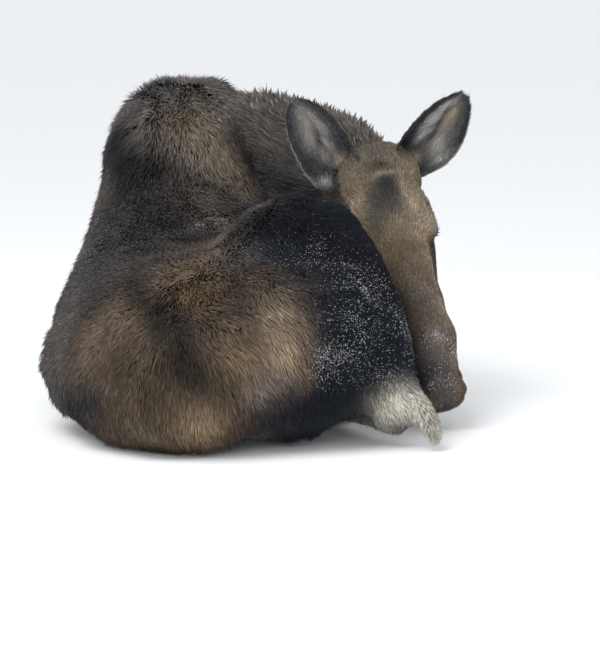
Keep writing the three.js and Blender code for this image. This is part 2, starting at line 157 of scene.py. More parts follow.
# The lie of the hair on each part: places, each with the way that the hair there points.
FLOW = {
    "rump": [
        ((-230, 120, 385), (0.5, -0.7, -0.4)),
        ((-350, 180, 385), (-0.35, -0.8, -0.5)),
        ((-300, 260, 430), (0.0, -0.95, -0.3)),
        ((-230, 35, 310), (0.5, -0.45, -0.75)),
        ((-90, 60, 260), (0.6, -0.1, -0.8)),
        ((-140, 40, 200), (0.45, -0.2, -0.85)),
        ((-230, 25, 150), (0.15, 0.1, -1)),
        ((-320, 21, 152), (-0.1, 0.0, -1)),
        ((-350, 100, 330), (-0.3, -0.6, -0.75)),
        ((-480, 180, 280), (-0.25, -0.5, -0.85)),
        ((-547, 251, 139), (-0.1, -0.3, -0.95)),
        ((-440, 110, 110), (0.3, -0.1, -0.95)),
        ((-370, 66, 74), (0.35, 0.2, -0.9)),
        ((-200, 69, 50), (0.2, 0.4, -0.9)),
    ],
    "barrel": [
        ((-300, 700, 480), (0.0, -0.97, -0.15)),
        ((-60, 600, 380), (0.3, -0.75, -0.6)),
        ((-150, 900, 520), (0.25, -0.85, -0.45)),
        ((-540, 600, 330), (-0.25, -0.85, -0.45)),
        ((-620, 600, 150), (-0.1, -0.8, -0.55)),
        ((0, 700, 150), (0.0, -0.7, -0.7)),
        ((-300, 700, 5), (0, -1, 0)),
    ],
    "chest": [
        ((-300, 1480, 350), (0, -0.1, -1)),
        ((-100, 1300, 250), (0.2, -0.6, -0.75)),
        ((-500, 1250, 300), (-0.2, -0.6, -0.75)),
    ],
    "hump": [
        ((-300, 1180, 800), (0, -0.75, 0.35)),
        ((-480, 1100, 640), (-0.35, -0.5, -0.8)),
        ((-300, 1040, 700), (0.2, -0.45, -0.85)),
        ((-400, 1000, 640), (-0.15, -0.5, -0.85)),
        ((-170, 1200, 740), (0.5, -0.55, -0.65)),
        ((-300, 1420, 600), (0, 0.5, -0.8)),
    ],
    "shoulder_right": [((-120, 1080, 560), (0.35, -0.6, -0.7)), ((-80, 1080, 300), (0.1, -0.4, -0.9))],
    "shoulder_left": [((-540, 1120, 500), (-0.2, -0.5, -0.85)), ((-540, 1100, 250), (0, -0.3, -0.95))],
    "neck": [
        ((-180, 1250, 780), (-0.7, -0.3, 0.5)),
        ((0, 1200, 760), (-0.85, 0.1, 0.35)),
        ((120, 1040, 730), (-0.6, 0.5, 0.5)),
        ((150, 930, 690), (-0.4, 0.5, 0.6)),
        ((-10, 1020, 620), (-0.75, 0.35, 0.35)),
        ((40, 960, 560), (-0.6, 0.6, -0.1)),
        ((150, 1250, 550), (-0.5, 0.8, -0.3)),
        ((-100, 1450, 500), (-0.8, -0.1, -0.6)),
        ((80, 1150, 330), (-0.6, 0.7, -0.3)),
    ],
    "tail": [((-262, 34, 276), (0.15, -0.3, -0.95))],
    "bell": [((200, 720, 200), (0, 0, -1))],
    "thigh_right": [
        ((0, 320, 470), (0.35, -0.65, -0.65)),
        ((-120, 250, 440), (0.3, -0.7, -0.6)),
        ((70, 150, 345), (0.4, -0.6, -0.7)),
        ((-50, 100, 260), (0.5, -0.2, -0.8)),
        ((200, 280, 330), (0.25, -0.5, -0.85)),
        ((120, 150, 180), (0.25, 0.1, -0.95)),
        ((-20, 130, 90), (0.3, 0.35, -0.9)),
        ((150, 450, 350), (0.2, -0.3, -0.9)),
    ],
    "shank_right": [
        ((100, 480, 560), (0.35, -0.7, -0.6)),
        ((190, 380, 400), (0.3, -0.5, -0.8)),
        ((210, 300, 240), (0.25, -0.3, -0.9)),
        ((240, 220, 110), (0.3, -0.1, -0.9)),
        ((320, 190, 60), (0.4, -0.1, -0.9)),
        ((200, 420, 250), (0.1, -0.3, -0.95)),
    ],
    "thigh_left": [((-590, 400, 220), (-0.1, -0.4, -0.9)), ((-600, 550, 150), (0, 0.2, -0.95))],
    "shank_left": [((-330, 470, 100), (0.7, -0.6, -0.2))],
}
# On a leg the hair runs from one part towards the next.
LEG_FLOW = {}
for side in ("right", "left"):
    LEG_FLOW[f"forearm_{side}"] = (f"shoulder_{side}", f"fore_cannon_{side}")
    LEG_FLOW[f"fore_cannon_{side}"] = (f"forearm_{side}", f"fore_{side}_pastern")
    LEG_FLOW[f"hind_cannon_{side}"] = (f"shank_{side}", f"hind_{side}_pastern")
for foot in FEET:
    LEG_FLOW[f"{foot}_pastern"] = (f"{foot}_pastern", f"{foot}_claw_outer")
for leg_node, (above, below) in LEG_FLOW.items():
    FLOW[leg_node] = [(None, tuple(middle(below) - middle(above)))]
FLOW["head"] = [(None, tuple(-MUZZLE_WAY - BROW_WAY * 0.15))]
FLOW["lower_jaw"] = [(None, tuple(-MUZZLE_WAY - BROW_WAY * 0.4))]
for ear_node, (root, tip, _) in EAR_ENDS.items():
    FLOW[ear_node] = [(None, tuple(tip - root))]

# ---------------------------------------------------------------- markings
BLACK = (0.004, 0.004, 0.005)
BLUE_BLACK = (0.008, 0.011, 0.018)
DARK_BROWN = (0.029, 0.026, 0.025)
GREY_BROWN = (0.103, 0.091, 0.082)
BROWN = (0.085, 0.062, 0.043)
TAN = (0.190, 0.148, 0.105)
GREY = (0.160, 0.158, 0.152)
PALE_GREY = (0.300, 0.300, 0.280)
BASE = {
    "hump": GREY_BROWN, "neck": GREY_BROWN, "barrel": DARK_BROWN, "rump": BROWN, "chest": DARK_BROWN,
    "shoulder_right": GREY_BROWN, "shoulder_left": GREY_BROWN, "thigh_right": BLUE_BLACK,
    "thigh_left": GREY_BROWN, "shank_right": BLUE_BLACK, "shank_left": GREY, "tail": DARK_BROWN,
    "bell": DARK_BROWN, "head": TAN, "lower_jaw": GREY_BROWN, "ear_right": GREY, "ear_left": GREY,
    "forearm_right": DARK_BROWN, "forearm_left": DARK_BROWN,
}
LEG_COLOUR = (0.330, 0.300, 0.250)
# Each marking: place, reach (millimetres), colour, strength. Later ones lie over earlier ones.
MARKINGS = [
    # the hump: slate at its edge, painted shade down its left side and as black in the hollow behind it, a
    # tan saddle down its side
    ((-369, 1193, 789), (90, 120, 60), (0.060, 0.060, 0.068), 0.8),
    ((-485, 1100, 650), (50, 90, 70), (0.050, 0.050, 0.060), 0.8),
    # painted shade, nearly black, down the hump's left side
    ((-452, 1085, 682), (56, 80, 80), (0.007, 0.008, 0.010), 0.97),
    ((-265, 1198, 794), (80, 90, 50), (0.110, 0.098, 0.094), 0.8),
    # painted shade: black in the hollow behind the hump, on its left
    ((-434, 1014, 625), (64, 70, 66), BLACK, 1.0),
    ((-439, 970, 560), (60, 60, 50), BLACK, 0.8),
    ((-384, 984, 620), (70, 70, 45), (0.010, 0.011, 0.014), 0.9),
    ((-287, 1062, 721), (85, 80, 60), (0.207, 0.166, 0.119), 0.9),
    ((-208, 1053, 625), (75, 80, 60), (0.246, 0.199, 0.148), 0.9),
    ((-150, 1030, 560), (50, 70, 40), (0.180, 0.135, 0.095), 0.8),
    # the neck, with painted shade darkening the crease towards the withers
    # painted shade in the crease
    ((-178, 1130, 690), (28, 60, 50), (0.020, 0.019, 0.019), 0.9),
    ((-152, 1108, 640), (32, 60, 45), (0.013, 0.012, 0.013), 0.95),
    ((-112, 1092, 605), (34, 60, 40), (0.013, 0.012, 0.013), 0.95),
    ((-70, 1073, 570), (40, 60, 40), (0.026, 0.026, 0.030), 0.9),
    ((-10, 1040, 610), (60, 60, 40), (0.056, 0.052, 0.051), 0.8),
    ((42, 965, 528), (50, 60, 34), (0.026, 0.025, 0.025), 0.9),
    ((-6, 1015, 548), (44, 50, 30), (0.018, 0.019, 0.022), 0.9),
    ((153, 965, 676), (90, 70, 50), (0.127, 0.115, 0.105), 0.8),
    # the back: grey-brown at its left edge, dark over the loins
    ((-545, 900, 400), (40, 170, 120), (0.090, 0.080, 0.080), 0.9),
    ((-555, 640, 320), (45, 170, 110), (0.062, 0.056, 0.056), 0.9),
    ((-579, 500, 240), (50, 120, 90), (0.073, 0.058, 0.047), 0.8),
    ((-449, 355, 358), (70, 90, 60), (0.043, 0.036, 0.033), 0.8),
    ((-240, 900, 540), (80, 70, 40), (0.072, 0.052, 0.040), 0.9),
    ((-220, 800, 485), (60, 80, 40), (0.125, 0.109, 0.100), 0.9),
    ((-140, 520, 515), (50, 80, 40), (0.075, 0.064, 0.060), 0.9),
    ((-90, 465, 548), (36, 50, 36), (0.075, 0.068, 0.066), 0.9),
    ((-262, 457, 440), (90, 110, 50), (0.064, 0.049, 0.037), 0.8),
    ((-187, 382, 475), (70, 90, 40), (0.104, 0.076, 0.053), 0.8),
    # the rump: a golden whorl, a dark band down its middle, tan on both sides
    ((-233, 154, 385), (80, 70, 45), (0.125, 0.085, 0.048), 0.9),
    ((-116, 192, 408), (80, 70, 50), (0.083, 0.060, 0.041), 0.8),
    ((-231, 285, 432), (60, 60, 40), (0.145, 0.106, 0.068), 0.9),
    ((-165, 300, 458), (50, 60, 30), (0.086, 0.082, 0.080), 0.8),
    ((-385, 300, 384), (44, 70, 36), (0.014, 0.012, 0.011), 0.9),
    ((-363, 222, 374), (44, 56, 40), (0.010, 0.008, 0.006), 0.95),
    ((-322, 150, 354), (44, 60, 44), (0.005, 0.004, 0.003), 1.0),
    ((-308, 100, 328), (36, 50, 40), (0.005, 0.004, 0.003), 0.95),
    ((-285, 60, 300), (35, 60, 50), (0.016, 0.011, 0.008), 0.85),
    ((-276, 20, 262), (32, 50, 50), (0.012, 0.008, 0.006), 0.9),
    ((-243, 2, 226), (32, 50, 36), (0.014, 0.010, 0.007), 0.9),
    ((-482, 190, 275), (55, 60, 50), (0.120, 0.095, 0.070), 0.9),
    ((-498, 185, 136), (60, 90, 55), (0.020, 0.021, 0.026), 0.9),
    ((-559, 350, 110), (40, 110, 70), (0.040, 0.044, 0.054), 0.9),
    ((-532, 284, 100), (44, 80, 60), (0.012, 0.015, 0.020), 0.9),
    ((-397, 85, 235), (50, 60, 60), (0.049, 0.035, 0.023), 0.7),
    ((-373, 90, 75), (60, 60, 45), (0.150, 0.115, 0.083), 0.8),
    ((-302, 33, 170), (50, 50, 50), (0.110, 0.080, 0.052), 0.7),
    ((-231, 50, 100), (55, 60, 55), (0.420, 0.305, 0.195), 0.9),
    ((-137, 55, 262), (60, 60, 50), (0.255, 0.185, 0.116), 0.9),
    ((-60, 122, 345), (54, 60, 50), (0.320, 0.246, 0.172), 0.9),
    ((-44, 95, 262), (60, 60, 60), (0.390, 0.296, 0.205), 0.9),
    ((2, 112, 238), (28, 50, 60), (0.150, 0.105, 0.070), 0.8),
    ((-90, 88, 178), (50, 50, 44), (0.215, 0.175, 0.150), 0.9),
    ((-62, 105, 138), (30, 40, 30), (0.050, 0.040, 0.038), 0.8),
    # the haunch: black, blue-grey towards the ground
    ((1, 180, 385), (50, 60, 45), (0.040, 0.033, 0.029), 0.8),
    ((-10, 400, 525), (110, 110, 60), BLACK, 0.95),
    ((110, 330, 450), (100, 110, 70), BLACK, 0.8),
    ((200, 380, 380), (70, 110, 110), BLACK, 0.85),
    ((62, 135, 235), (34, 50, 50), (0.012, 0.012, 0.014), 0.8),
    ((-25, 150, 75), (80, 70, 45), (0.028, 0.032, 0.041), 0.9),
    ((-106, 170, 52), (50, 60, 36), (0.140, 0.124, 0.118), 0.8),
    ((85, 245, 68), (70, 70, 34), (0.055, 0.060, 0.076), 0.9),
    # the hock
    ((214, 239, 163), (40, 60, 30), (0.110, 0.105, 0.100), 0.6),
    ((238, 228, 105), (66, 80, 48), (0.840, 0.785, 0.670), 1.0),
    ((205, 245, 55), (45, 60, 40), (0.340, 0.335, 0.310), 0.7),
    ((320, 190, 50), (60, 60, 60), (0.480, 0.450, 0.380), 0.9),
]
HEAD_MARKINGS = [  # place on the head: share of the face line, towards the bridge, to the left, then as above
    ((0.01, 40, -10), (55, 90, 100), (0.118, 0.102, 0.086), 0.9),
    ((0.10, 50, 0), (34, 60, 60), (0.135, 0.114, 0.090), 0.7),
    ((0.098, 64, 4), (9, 40, 18), BLACK, 0.9),
    ((0.262, 60, -18), (40, 60, 40), (0.085, 0.085, 0.078), 0.85),
    ((0.272, 56, 32), (34, 50, 22), (0.110, 0.106, 0.096), 0.7),
    ((0.190, 70, 8), (44, 70, 30), (0.026, 0.028, 0.030), 1.0),
    ((0.245, 64, 15), (42, 70, 32), (0.052, 0.055, 0.057), 0.95),
    # painted highlights along the fold above the boss and the ridge to its right
    ((0.138, 70, 8), (7, 60, 34), (0.360, 0.300, 0.225), 0.8),
    ((0.190, 60, 46), (34, 50, 9), (0.380, 0.315, 0.235), 0.7),
    ((0.290, 62, 0), (36, 50, 44), (0.090, 0.088, 0.080), 0.85),
    ((0.225, 62, -30), (34, 40, 22), (0.070, 0.068, 0.060), 0.8),
    ((0.160, 20, 84), (40, 50, 30), (0.250, 0.200, 0.145), 0.8),
    # painted highlights on the brow ridges
    ((0.212, 29, -88), (34, 50, 30), (0.440, 0.345, 0.245), 0.9),
    ((0.262, 46, 60), (40, 40, 26), (0.440, 0.352, 0.262), 0.9),
    ((0.320, 22, 80), (44, 34, 28), (0.450, 0.366, 0.276), 0.9),
    ((0.345, 54, 12), (44, 40, 40), (0.250, 0.205, 0.148), 0.8),
    ((0.380, 42, 46), (44, 40, 28), (0.300, 0.226, 0.155), 0.9),
    ((0.450, 56, -12), (60, 50, 36), (0.126, 0.090, 0.057), 0.9),
    ((0.570, 60, 18), (70, 50, 40), (0.140, 0.110, 0.090), 0.9),
    ((0.700, 70, 0), (60, 50, 40), (0.112, 0.092, 0.080), 0.9),
    # painted shade down the muzzle's right side
    ((0.630, 52, -50), (84, 60, 38), (0.016, 0.017, 0.020), 0.95),
    ((0.770, 56, -56), (76, 60, 40), (0.015, 0.016, 0.020), 0.97),
    # a painted highlight along the face crest
    ((0.430, 33, 54), (44, 14, 12), (0.310, 0.245, 0.180), 0.8),
    ((0.530, 31, 58), (50, 12, 11), (0.260, 0.210, 0.160), 0.8),
    ((0.640, 34, 56), (50, 14, 12), (0.230, 0.190, 0.150), 0.8),
    ((0.780, 64, 28), (50, 50, 26), (0.220, 0.184, 0.160), 0.8),
    ((0.880, 56, -6), (50, 50, 42), (0.092, 0.092, 0.104), 0.9),
    # painted shade on the right side of the nose
    ((0.900, 42, -50), (56, 60, 36), (0.018, 0.020, 0.025), 0.95),
    ((0.970, 26, 12), (40, 50, 34), (0.160, 0.150, 0.155), 0.8),
    ((0.940, 18, 46), (34, 40, 22), (0.150, 0.104, 0.076), 0.8),
    ((0.450, -14, 84), (120, 28, 26), (0.030, 0.030, 0.034), 0.95),
    ((0.700, -20, 70), (90, 40, 30), (0.095, 0.080, 0.070), 0.7),
    ((0.450, -30, -80), (140, 46, 36), (0.036, 0.034, 0.036), 0.8),
    ((0.990, -40, 0), (40, 50, 60), DARK_BROWN, 0.7),
]


# ---------------------------------------------------------------- making and shaping meshes
def only(*pieces):
    """Selects these pieces and nothing else, the first of them active."""
    bpy.ops.object.select_all(action="DESELECT")
    for piece in pieces:
        piece.select_set(True)
    bpy.context.view_layer.objects.active = pieces[0]


def apply_modifier(piece, kind, **settings):
    only(piece)
    modifier = piece.modifiers.new(kind.lower(), kind)
    for key, value in settings.items():
        setattr(modifier, key, value)
    bpy.ops.object.modifier_apply(modifier=modifier.name)


def edit_all(piece, operator, **settings):
    """Runs one operator on the whole of a piece, in edit mode."""
    only(piece)
    bpy.ops.object.mode_set(mode="EDIT")
    bpy.ops.mesh.select_all(action="SELECT")
    operator(**settings)
    bpy.ops.object.mode_set(mode="OBJECT")


def closed_copy(node, swollen):
    """A copy of a node of the frame, its loose triangles sewn together, swollen a little all over."""
    piece = bpy.data.objects.new(node + "_copy", NODES[node].data.copy())
    bpy.context.scene.collection.objects.link(piece)
    piece.data.materials.clear()
    edit_all(piece, bpy.ops.mesh.remove_doubles, threshold=0.00002)
    if swollen:
        apply_modifier(piece, "DISPLACE", strength=swollen, mid_level=0.0)
    return piece


def joined(pieces, name):
    only(*pieces)
    bpy.ops.object.join()
    piece = bpy.context.object
    piece.name = piece.data.name = name
    return piece


def keep_largest(piece):
    """Leaves the outer shell and drops any bubble that the remesh left inside."""
    edit_all(piece, bpy.ops.mesh.separate, type="LOOSE")
    shells = sorted(bpy.context.selected_objects, key=lambda o: len(o.data.vertices))
    for shell in shells[:-1]:
        bpy.data.objects.remove(shell)
    return shells[-1]


def read(items, what, width, kind=np.float32):
    """One property of a mesh's vertices, edges, loops or faces, as an array with so many values a row."""
    flat = np.empty(len(items) * width, kind)
    items.foreach_get(what, flat)
    return flat.reshape(-1, width) if width > 1 else flat


def places(mesh):
    return read(mesh.vertices, "co", 3).astype(float)


def put_places(mesh, points):
    mesh.vertices.foreach_set("co", points.astype(np.float32).ravel())
    mesh.update()


def normals(mesh):
    return read(mesh.vertices, "normal", 3).astype(float)


def edge_ends(mesh):
    return read(mesh.edges, "vertices", 2, np.int32)


def spread(values, ends, rounds, share=0.5):
    """Moves each vertex's value towards the mean of its neighbours', so many times."""
    values = values.astype(float).copy()
    count = np.maximum(np.bincount(ends.ravel(), minlength=len(values)), 1)[:, None]
    a, b = ends[:, 0], ends[:, 1]
    for _ in range(rounds):
        total = np.stack([
            np.bincount(a, column[b], len(values)) + np.bincount(b, column[a], len(values))
            for column in values.T
        ], 1)
        values += share * (total / count - values)
    return values


def smooth(mesh, rounds, where=None):
    """Rounds off facets without shrinking the form, on all of the mesh or where the weights say."""
    points, ends = places(mesh), edge_ends(mesh)
    weight = 1.0 if where is None else where[:, None]
    for _ in range(rounds):
        for share in (0.50, -0.52):  # in, then out again
            points = spread(points, ends, 1, share * weight)
    put_places(mesh, points)


def fill_creases(mesh, rounds, where):
    """Lets the skin bridge the creases between one muscle and the next, and leaves alone what bulges."""
    points, ends = places(mesh), edge_ends(mesh)
    for step in range(rounds):
        if step % 6 == 0:
            put_places(mesh, points)
            turned = normals(mesh)
        gap = spread(points, ends, 1, 1.0) - points
        height = np.maximum((gap * turned).sum(1), 0) * 0.8 * where
        points += turned * height[:, None]
    put_places(mesh, points)


def unit(vectors):
    return vectors / np.maximum(np.linalg.norm(vectors, axis=1, keepdims=True), 1e-9)


def laid_flat(ways, up):
    """Ways turned so that they run along the skin."""
    return unit(ways - up * (ways * up).sum(1, keepdims=True))


def nearest_nodes():
    """A finder that gives, for points, the index in FLESH of the node whose surface is nearest."""
    corners, faces, owner = [], [], []
    for index, node in enumerate(FLESH):
        mesh = NODES[node].data
        start = len(corners)
        corners += [v.co.copy() for v in mesh.vertices]
        faces += [[start + v for v in p.vertices] for p in mesh.polygons]
        owner += [index] * len(mesh.polygons)
    tree = BVHTree.FromPolygons(corners, faces)
    owner = np.array(owner)
    return lambda points: owner[[tree.find_nearest(Vector(p))[2] for p in points]]


part_of = nearest_nodes()


def refine(piece, chosen):
    """Halves the faces whose corners are all chosen."""
    mesh = piece.data
    sides = read(mesh.polygons, "loop_total", 1, np.int32)
    corners = read(mesh.loops, "vertex_index", 1, np.int32)
    starts = np.concatenate([[0], np.cumsum(sides)[:-1]])
    picked = np.add.reduceat(chosen[corners].astype(int), starts) == sides
    only(piece)
    bpy.context.tool_settings.mesh_select_mode = (False, False, True)
    bpy.ops.object.mode_set(mode="EDIT")
    bpy.ops.mesh.select_all(action="DESELECT")
    bpy.ops.object.mode_set(mode="OBJECT")
    mesh.polygons.foreach_set("select", picked)
    bpy.ops.object.mode_set(mode="EDIT")
    bpy.ops.mesh.subdivide(number_cuts=1)
    bpy.ops.object.mode_set(mode="OBJECT")


def from_table(parts, column):
    """One column of the coat's table, in metres, for vertices on these parts."""
    return np.array([coat_of(n)[column] for n in FLESH])[parts] * MM


def fall(distance):
    """1 at the middle, 0 from a distance of 1 on, smooth between."""
    t = np.clip(1 - distance, 0, 1)
    return t * t * (3 - 2 * t)


def hand_over(piece, paint):
    """Gives a finished piece its material, and says what it rides on."""
    piece.data.materials.append(paint)
    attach(piece, "root")


# ---------------------------------------------------------------- the skin
def eye_axes(side):
    """The eye's middle, the way it looks, and its long and short ways."""
    centre = middle("eye_left" if side > 0 else "eye_right")
    looks = (LEFT_WAY * side + BROW_WAY * 0.28 + MUZZLE_WAY * 0.10).normalized()
    along = MUZZLE_WAY - BROW_WAY * 0.25
    along = (along - looks * along.dot(looks)).normalized()
    across = looks.cross(along) * (1 if looks.cross(along).dot(BROW_WAY) > 0 else -1)
    return centre, looks, along, across


LID_LONG, LID_HIGH = 0.86, 0.56  # half the opening, in eye radii
LID_PROUD = 0.0016  # how far the lids stand out from the eyeball
LID_REACH = 2.4  # how far out the lids are drawn, in eye radii
LID_DROP = 0.45  # how much lower the opening is at its corners than at its middle


def shape_eye(points, side):
    """Draws lids over the eyeball, with an almond opening, a rolled rim and a fold above."""
    centre, looks, along, across = (np.array(v) for v in eye_axes(side))
    away = points - centre
    far = np.linalg.norm(away, axis=1)
    ray = away / far[:, None]
    p, q, front = ray @ along, ray @ across, ray @ looks
    near = (front > 0.0) & (far < EYE_RADIUS * LID_REACH)
    high = np.where(q > 0, LID_HIGH, LID_HIGH * 0.80)
    high = high * np.clip(1.15 - LID_DROP * np.abs(p / LID_LONG) ** 2, 0.3, 1)
    opening = np.sqrt((p / LID_LONG) ** 2 + (q / high) ** 2)
    lid = EYE_RADIUS + LID_PROUD + 0.0010 * fall(np.abs(opening - 1.12) / 0.14)  # rolled rim
    lid = lid - 0.0016 * fall(np.abs(opening - 1.55) / 0.20) * (q > -0.2)  # fold
    lid = lid + 0.0016 * fall((opening - 1.9) / 0.5)
    target = np.where(opening < 0.97, EYE_RADIUS * 0.70, lid)
    edge = np.where(q > 0, 1.2, 1.6)
    blend = np.where(opening < edge, 1.0, fall((opening - edge) / np.where(q > 0, 0.6, 1.1)))
    blend = blend * np.clip(front / 0.3, 0, 1)
    brow = np.clip(q / 0.3, 0, 1) * (opening > 1.15)  # the socket's rim, which stays proud of the lid
    blend = blend * (1 - brow * (1 - fall(np.maximum(far / EYE_RADIUS - 1.15, 0) / 0.6)))
    moved = np.where(near, far + (target - far) * blend, far)
    return centre + ray * moved[:, None]


NOSTRIL_BEND = 7.0
NOSTRIL_REACH = 0.055  # what lies further in or out than this belongs to the other side of the muzzle


def nostril_axes(side):
    """The nostril's middle, the way out of it, and its long and short ways."""
    centre = on_head(0.925, 6, side * 58 - 6)
    out = (LEFT_WAY * side + BROW_WAY * 0.30 + MUZZLE_WAY * 0.28).normalized()
    along = MUZZLE_WAY * 0.80 - BROW_WAY * 0.60
    along = (along - out * along.dot(out)).normalized()
    return centre, out, along, out.cross(along) * side


def nostril_ring(points, side, long, wide):
    """How far out each point lies, 1 on a nostril of a half length and a half width, and if it is near."""
    centre, out, along, across = (np.array(v) for v in nostril_axes(side))
    away = points - centre
    p, q = away @ along, away @ across
    ring = np.sqrt((p / long) ** 2 + ((q + NOSTRIL_BEND * p * p) / wide) ** 2)
    return ring, np.abs(away @ out) < NOSTRIL_REACH


def shape_nostril(points, side):
    """Sinks a long slanting nostril, bent like a comma, into the side of the muzzle, with a thick rim."""
    ring, here = nostril_ring(points, side, 0.034, 0.0125)
    sink = -0.030 * fall(ring / 1.2) + 0.0055 * fall(np.abs(ring - 1.55) / 0.75)
    return points + np.where(here, sink, 0)[:, None] * np.array(nostril_axes(side)[1])


def swell(points, along, brow, left, reach, height, way):
    """Raises or sinks a soft bump on the head, at a place on it and over a reach in millimetres."""
    centre = np.array(on_head(along, brow, left))
    gap = points - centre
    own = np.stack([gap @ np.array(a) for a in (MUZZLE_WAY, BROW_WAY, LEFT_WAY)], 1)
    gain = fall(np.linalg.norm(own / (np.array(reach) * MM), axis=1)) * height * MM
    return points + gain[:, None] * np.array(way)


# Along the lips: share of the face line and height towards the bridge, from the corner to the front.
MOUTH = ((0.70, -52), (0.78, -60), (0.86, -66), (0.94, -66), (1.02, -56))
LIP_BREADTH = 0.010


def lip_line(points, breadth):
    """How near each point is to the line between the lips, 1 on it and 0 past a breadth on either side."""
    along, brow, _ = head_place(points)
    line = np.interp(along, [m[0] for m in MOUTH], [m[1] * MM for m in MOUTH])
    return fall(np.abs(brow - line) / breadth) * np.clip((along - MOUTH[0][0]) / 0.06, 0, 1)


def shape_mouth(points):
    """Draws the groove between the lips, round both sides of the muzzle."""
    along, _, left = head_place(points)
    depth = 0.011 * lip_line(points, LIP_BREADTH)
    inward = np.array(LEFT_WAY)[None] * -np.sign(left)[:, None]
    inward = inward * np.clip(np.abs(left) / 0.03, 0, 1)[:, None]
    inward = inward - np.array(MUZZLE_WAY)[None] * np.clip((along - 0.9) / 0.1, 0, 1)[:, None]
    return points + inward * depth[:, None]


# What is worked into the head: share of the face line, height towards the bridge, way out to the side, shift
# to the left, reach, how far it stands out (all but the first in millimetres), and which of head_ways().
BOTH_SIDES = [
    (0.04, -8, 84, 0, (60, 64, 50), 13, "side"),  # fleshy foot of the ear
    (0.13, -8, 90, 0, (50, 60, 50), 10, "side"),  # temple
    (0.165, 40, 66, 0, (26, 30, 26), -5, "side"),  # hollow behind the brow
    (0.25, 34, 80, 0, (56, 44, 44), 3, "slant"),  # brow
    (0.225, 24, 96, 0, (44, 40, 50), -4, "side"),  # slope down to the brow
    (0.276, 24, 104, 0, (30, 34, 44), -10, "side"),  # the brow's outer corner
    (0.332, 14, 92, 0, (50, 32, 56), 16, "side"),  # rim of the eye's socket
    (0.33, 48, 50, 0, (60, 40, 26), -4, "bridge"),  # dip beside the bridge
    (0.48, 38, 56, 0, (130, 20, 22), 10, "crest"),  # face crest
    (0.47, 2, 72, 0, (100, 40, 50), -9, "side"),  # hollow under it
    (0.392, 12, 86, 0, (32, 26, 38), -9, "side"),  # tear groove
    (0.36, -80, 70, 0, (90, 60, 50), 5, "side"),  # cheek
    (0.74, 26, 62, -4, (70, 50, 44), 9, "side"),  # root of the nose
    (0.66, -16, 64, 0, (60, 40, 40), -4, "side"),  # hollow before the nostril
    (0.95, 14, 54, -6, (44, 42, 46), 12, "wing"),  # the nostril's wing
    (0.97, -30, 44, -6, (46, 44, 50), 6, "lip"),  # upper lip
    (0.97, 34, 24, -6, (44, 40, 28), 5, "pad"),  # pad between the nostrils
]
IN_THE_MIDDLE = [
    (0.35, 70, 0, 0, (90, 40, 34), -5, "bridge"),  # dip between the eyes
    (0.165, 78, 0, 6, (38, 60, 36), 10, "bridge"),  # boss of the forehead
    (0.108, 72, 0, 6, (9, 60, 44), 4, "bridge"),  # fold above it
    (0.085, 70, 0, 0, (9, 60, 40), -4, "bridge"),  # crease behind the fold
    (0.80, 84, 0, -6, (90, 40, 50), 5, "bridge"),  # swelling of the nose
    (1.0, 14, 0, -6, (50, 80, 12), -5, "groove"),  # groove of the lip
]


def head_ways(side):
    """The ways in which flesh and bone stand out from the head, for one side of it."""
    sideways = LEFT_WAY * side
    slant = (sideways + BROW_WAY * 0.5).normalized()
    return {
        "side": sideways, "slant": slant, "bridge": BROW_WAY, "crest": sideways * 0.7 + BROW_WAY * 0.6,
        "wing": slant + MUZZLE_WAY * 0.3, "lip": sideways + MUZZLE_WAY * 0.4,
        "pad": MUZZLE_WAY + BROW_WAY * 0.5, "groove": MUZZLE_WAY + BROW_WAY * 0.3,
    }


def shape_head(mesh, parts):
    """Works the bones, folds, lids and nostrils into the head."""
    points = places(mesh)
    on = on_face(parts)
    head = points[on]
    for side, rows in ((1, BOTH_SIDES), (-1, BOTH_SIDES), (1, IN_THE_MIDDLE)):
        ways = head_ways(side)
        for along, brow, out, shift, reach, height, way in rows:
            head = swell(head, along, brow, side * out + shift, reach, height, ways[way])
    head = shape_mouth(head)
    for side in SIDES:
        head = shape_nostril(head, side)
        head = shape_eye(head, side)
    points[on] = head
    put_places(mesh, points)


# The cells of the remesh, in metres.
BODY_VOXEL = 0.0108
EAR_VOXEL = 0.0045
HORN_VOXEL = 0.0030
SWELL = 0.0013  # the copies overlap by this much, so that the remesh finds no gap between them
LOWEST = 0.001  # the skin stays this far above the floor
CREASE_ROUNDS, PADDED_ROUNDS = 90, 220  # how far the skin bridges a crease, and how far where fat fills it
# How near to an eye and to a nostril the mesh is made finer, the first time and the second.
FINER = ((0.045, 0.048), (0.032, 0.036))
# Where fat fills the crease between two muscles: place and reach, in millimetres.
PADDED = [
    ((20, 210, 390), (190, 190, 130)),
    ((-230, 180, 400), (150, 130, 80)),
]
# Where the flesh lies further in than the coat's depth: place, reach and how far, in millimetres.
LEANER = [((125, 525, 530), (70, 90, 70), 15), ((185, 440, 455), (60, 70, 60), 8)]
# The parts with muscle and fat under them, where the skin bridges the creases.
FULL = ("barrel", "rump", "chest", "hump", "neck",
        "thigh_right", "thigh_left", "shoulder_right", "shoulder_left")


def from_openings(points, *kinds):
    """How far each point is from the middle of the nearest eye or nostril."""
    middles = [axes(side)[0] for axes in kinds for side in SIDES]
    return np.min([np.linalg.norm(points - np.array(m), axis=1) for m in middles], axis=0)


def refine_openings(body, near_eye, near_nostril):
    """Makes the mesh finer round the eyes and nostrils."""
    points = places(body.data)
    eyes, nostrils = from_openings(points, eye_axes), from_openings(points, nostril_axes)
    refine(body, (eyes < near_eye) | (nostrils < near_nostril))


